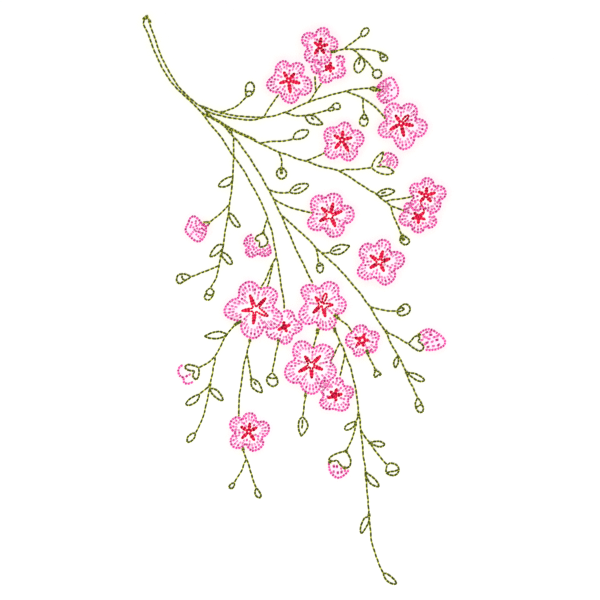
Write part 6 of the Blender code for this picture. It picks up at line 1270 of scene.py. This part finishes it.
# the hem's seam, in drawing units as the rest
w = Work()
half = (SIDE / 2 - HEM_SEAM) / UNIT_MM
square = np.array([[-half, -half], [half, -half], [half, half], [-half, half], [-half, -half]]) + CENTRE
for a, b in zip(square, square[1:]):
    w.line(np.array([a, b]), 2.7 / UNIT_MM, 0.2 / UNIT_MM, shake=0.15)
seam = stitched("hem_stitches", w, white, white, base=HEM_FACE - 0.16, back=0.0 + 0.2)
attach(seam, "root")
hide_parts("hem_seam")

# ---------------------------------------------------------------- table, light and camera

rings = [(0.0, 0.0), (0.35, 0.0), (1.0, 0.0), (2.5, 0.0), (4.5, 0.0)]
rings += [(4.5 + 1.5 * math.sin(a), 1.5 - 1.5 * math.cos(a)) for a in np.linspace(0.15, math.pi / 2, 10)]
rings += [(6.0, 3.0)]
turns = 96
floor_points = [(0, 0, -0.02)]
for r, z in rings[1:]:
    floor_points += [(1000 * r * math.cos(2 * math.pi * k / turns), 1000 * r * math.sin(2 * math.pi * k / turns),
                      1000 * z - 0.02) for k in range(turns)]
floor_quads = [(1 + i * turns + k, 1 + (i + 1) * turns + k, 1 + (i + 1) * turns + (k + 1) % turns,
                1 + i * turns + (k + 1) % turns) for i in range(len(rings) - 2) for k in range(turns)]
floor_tips = [(0, 1 + k, 1 + (k + 1) % turns) for k in range(turns)]
floor = mesh_of("table", np.array(floor_points), np.array(floor_quads), np.array(floor_tips))
plain = Nodes("plain_floor")
plain.feed(plain.main.inputs["Base Color"], plain.mix(plain.noise(3.0, 3.0), (0.66, 0.65, 0.63), (0.70, 0.69, 0.67)))
plain.main.inputs["Roughness"].default_value = 0.85
plain.main.inputs["Specular IOR Level"].default_value = 0.15
floor.data.materials.append(plain.mat)

world = bpy.data.worlds.new("studio")
world.use_nodes = True
sky = world.node_tree.nodes["Background"]
sky.inputs["Color"].default_value = (0.985, 0.99, 1.0, 1)
sky.inputs["Strength"].default_value = 0.70
bpy.context.scene.world = world


def lamp(name, place_, size, watts, colour=(1, 1, 1)):
    data = bpy.data.lights.new(name, "AREA")
    data.shape = "DISK"
    data.size = size
    data.energy = watts
    data.color = colour
    obj = bpy.data.objects.new(name, data)
    bpy.context.scene.collection.objects.link(obj)
    obj.location = place_
    obj.rotation_euler = (Vector((0, 0, 0)) - Vector(place_)).to_track_quat("-Z", "Y").to_euler()
    return obj


lamp("key", (-0.55, -1.05, 1.25), 0.7, 18.4, (1.0, 0.99, 0.97))
lamp("fill", (0.95, 0.6, 1.5), 1.4, 10.7, (0.985, 0.99, 1.0))

data = bpy.data.cameras.new("camera")
data.lens = 200.0
data.sensor_width = 36.0
camera = bpy.data.objects.new("camera", data)
bpy.context.scene.collection.objects.link(camera)
seen = 600 * UNIT_MM * MM
camera.location = (0, 0, 0.001 + seen / 2 / (18.0 / 200.0))
camera.rotation_euler = (0, 0, 0)
data.clip_start, data.clip_end = 0.01, 50
bpy.context.scene.camera = camera
bpy.context.scene.view_settings.view_transform = "Standard"
bpy.context.scene.view_settings.look = "None"
bpy.context.scene.cycles.filter_width = 1.1

bpy.context.view_layer.update()
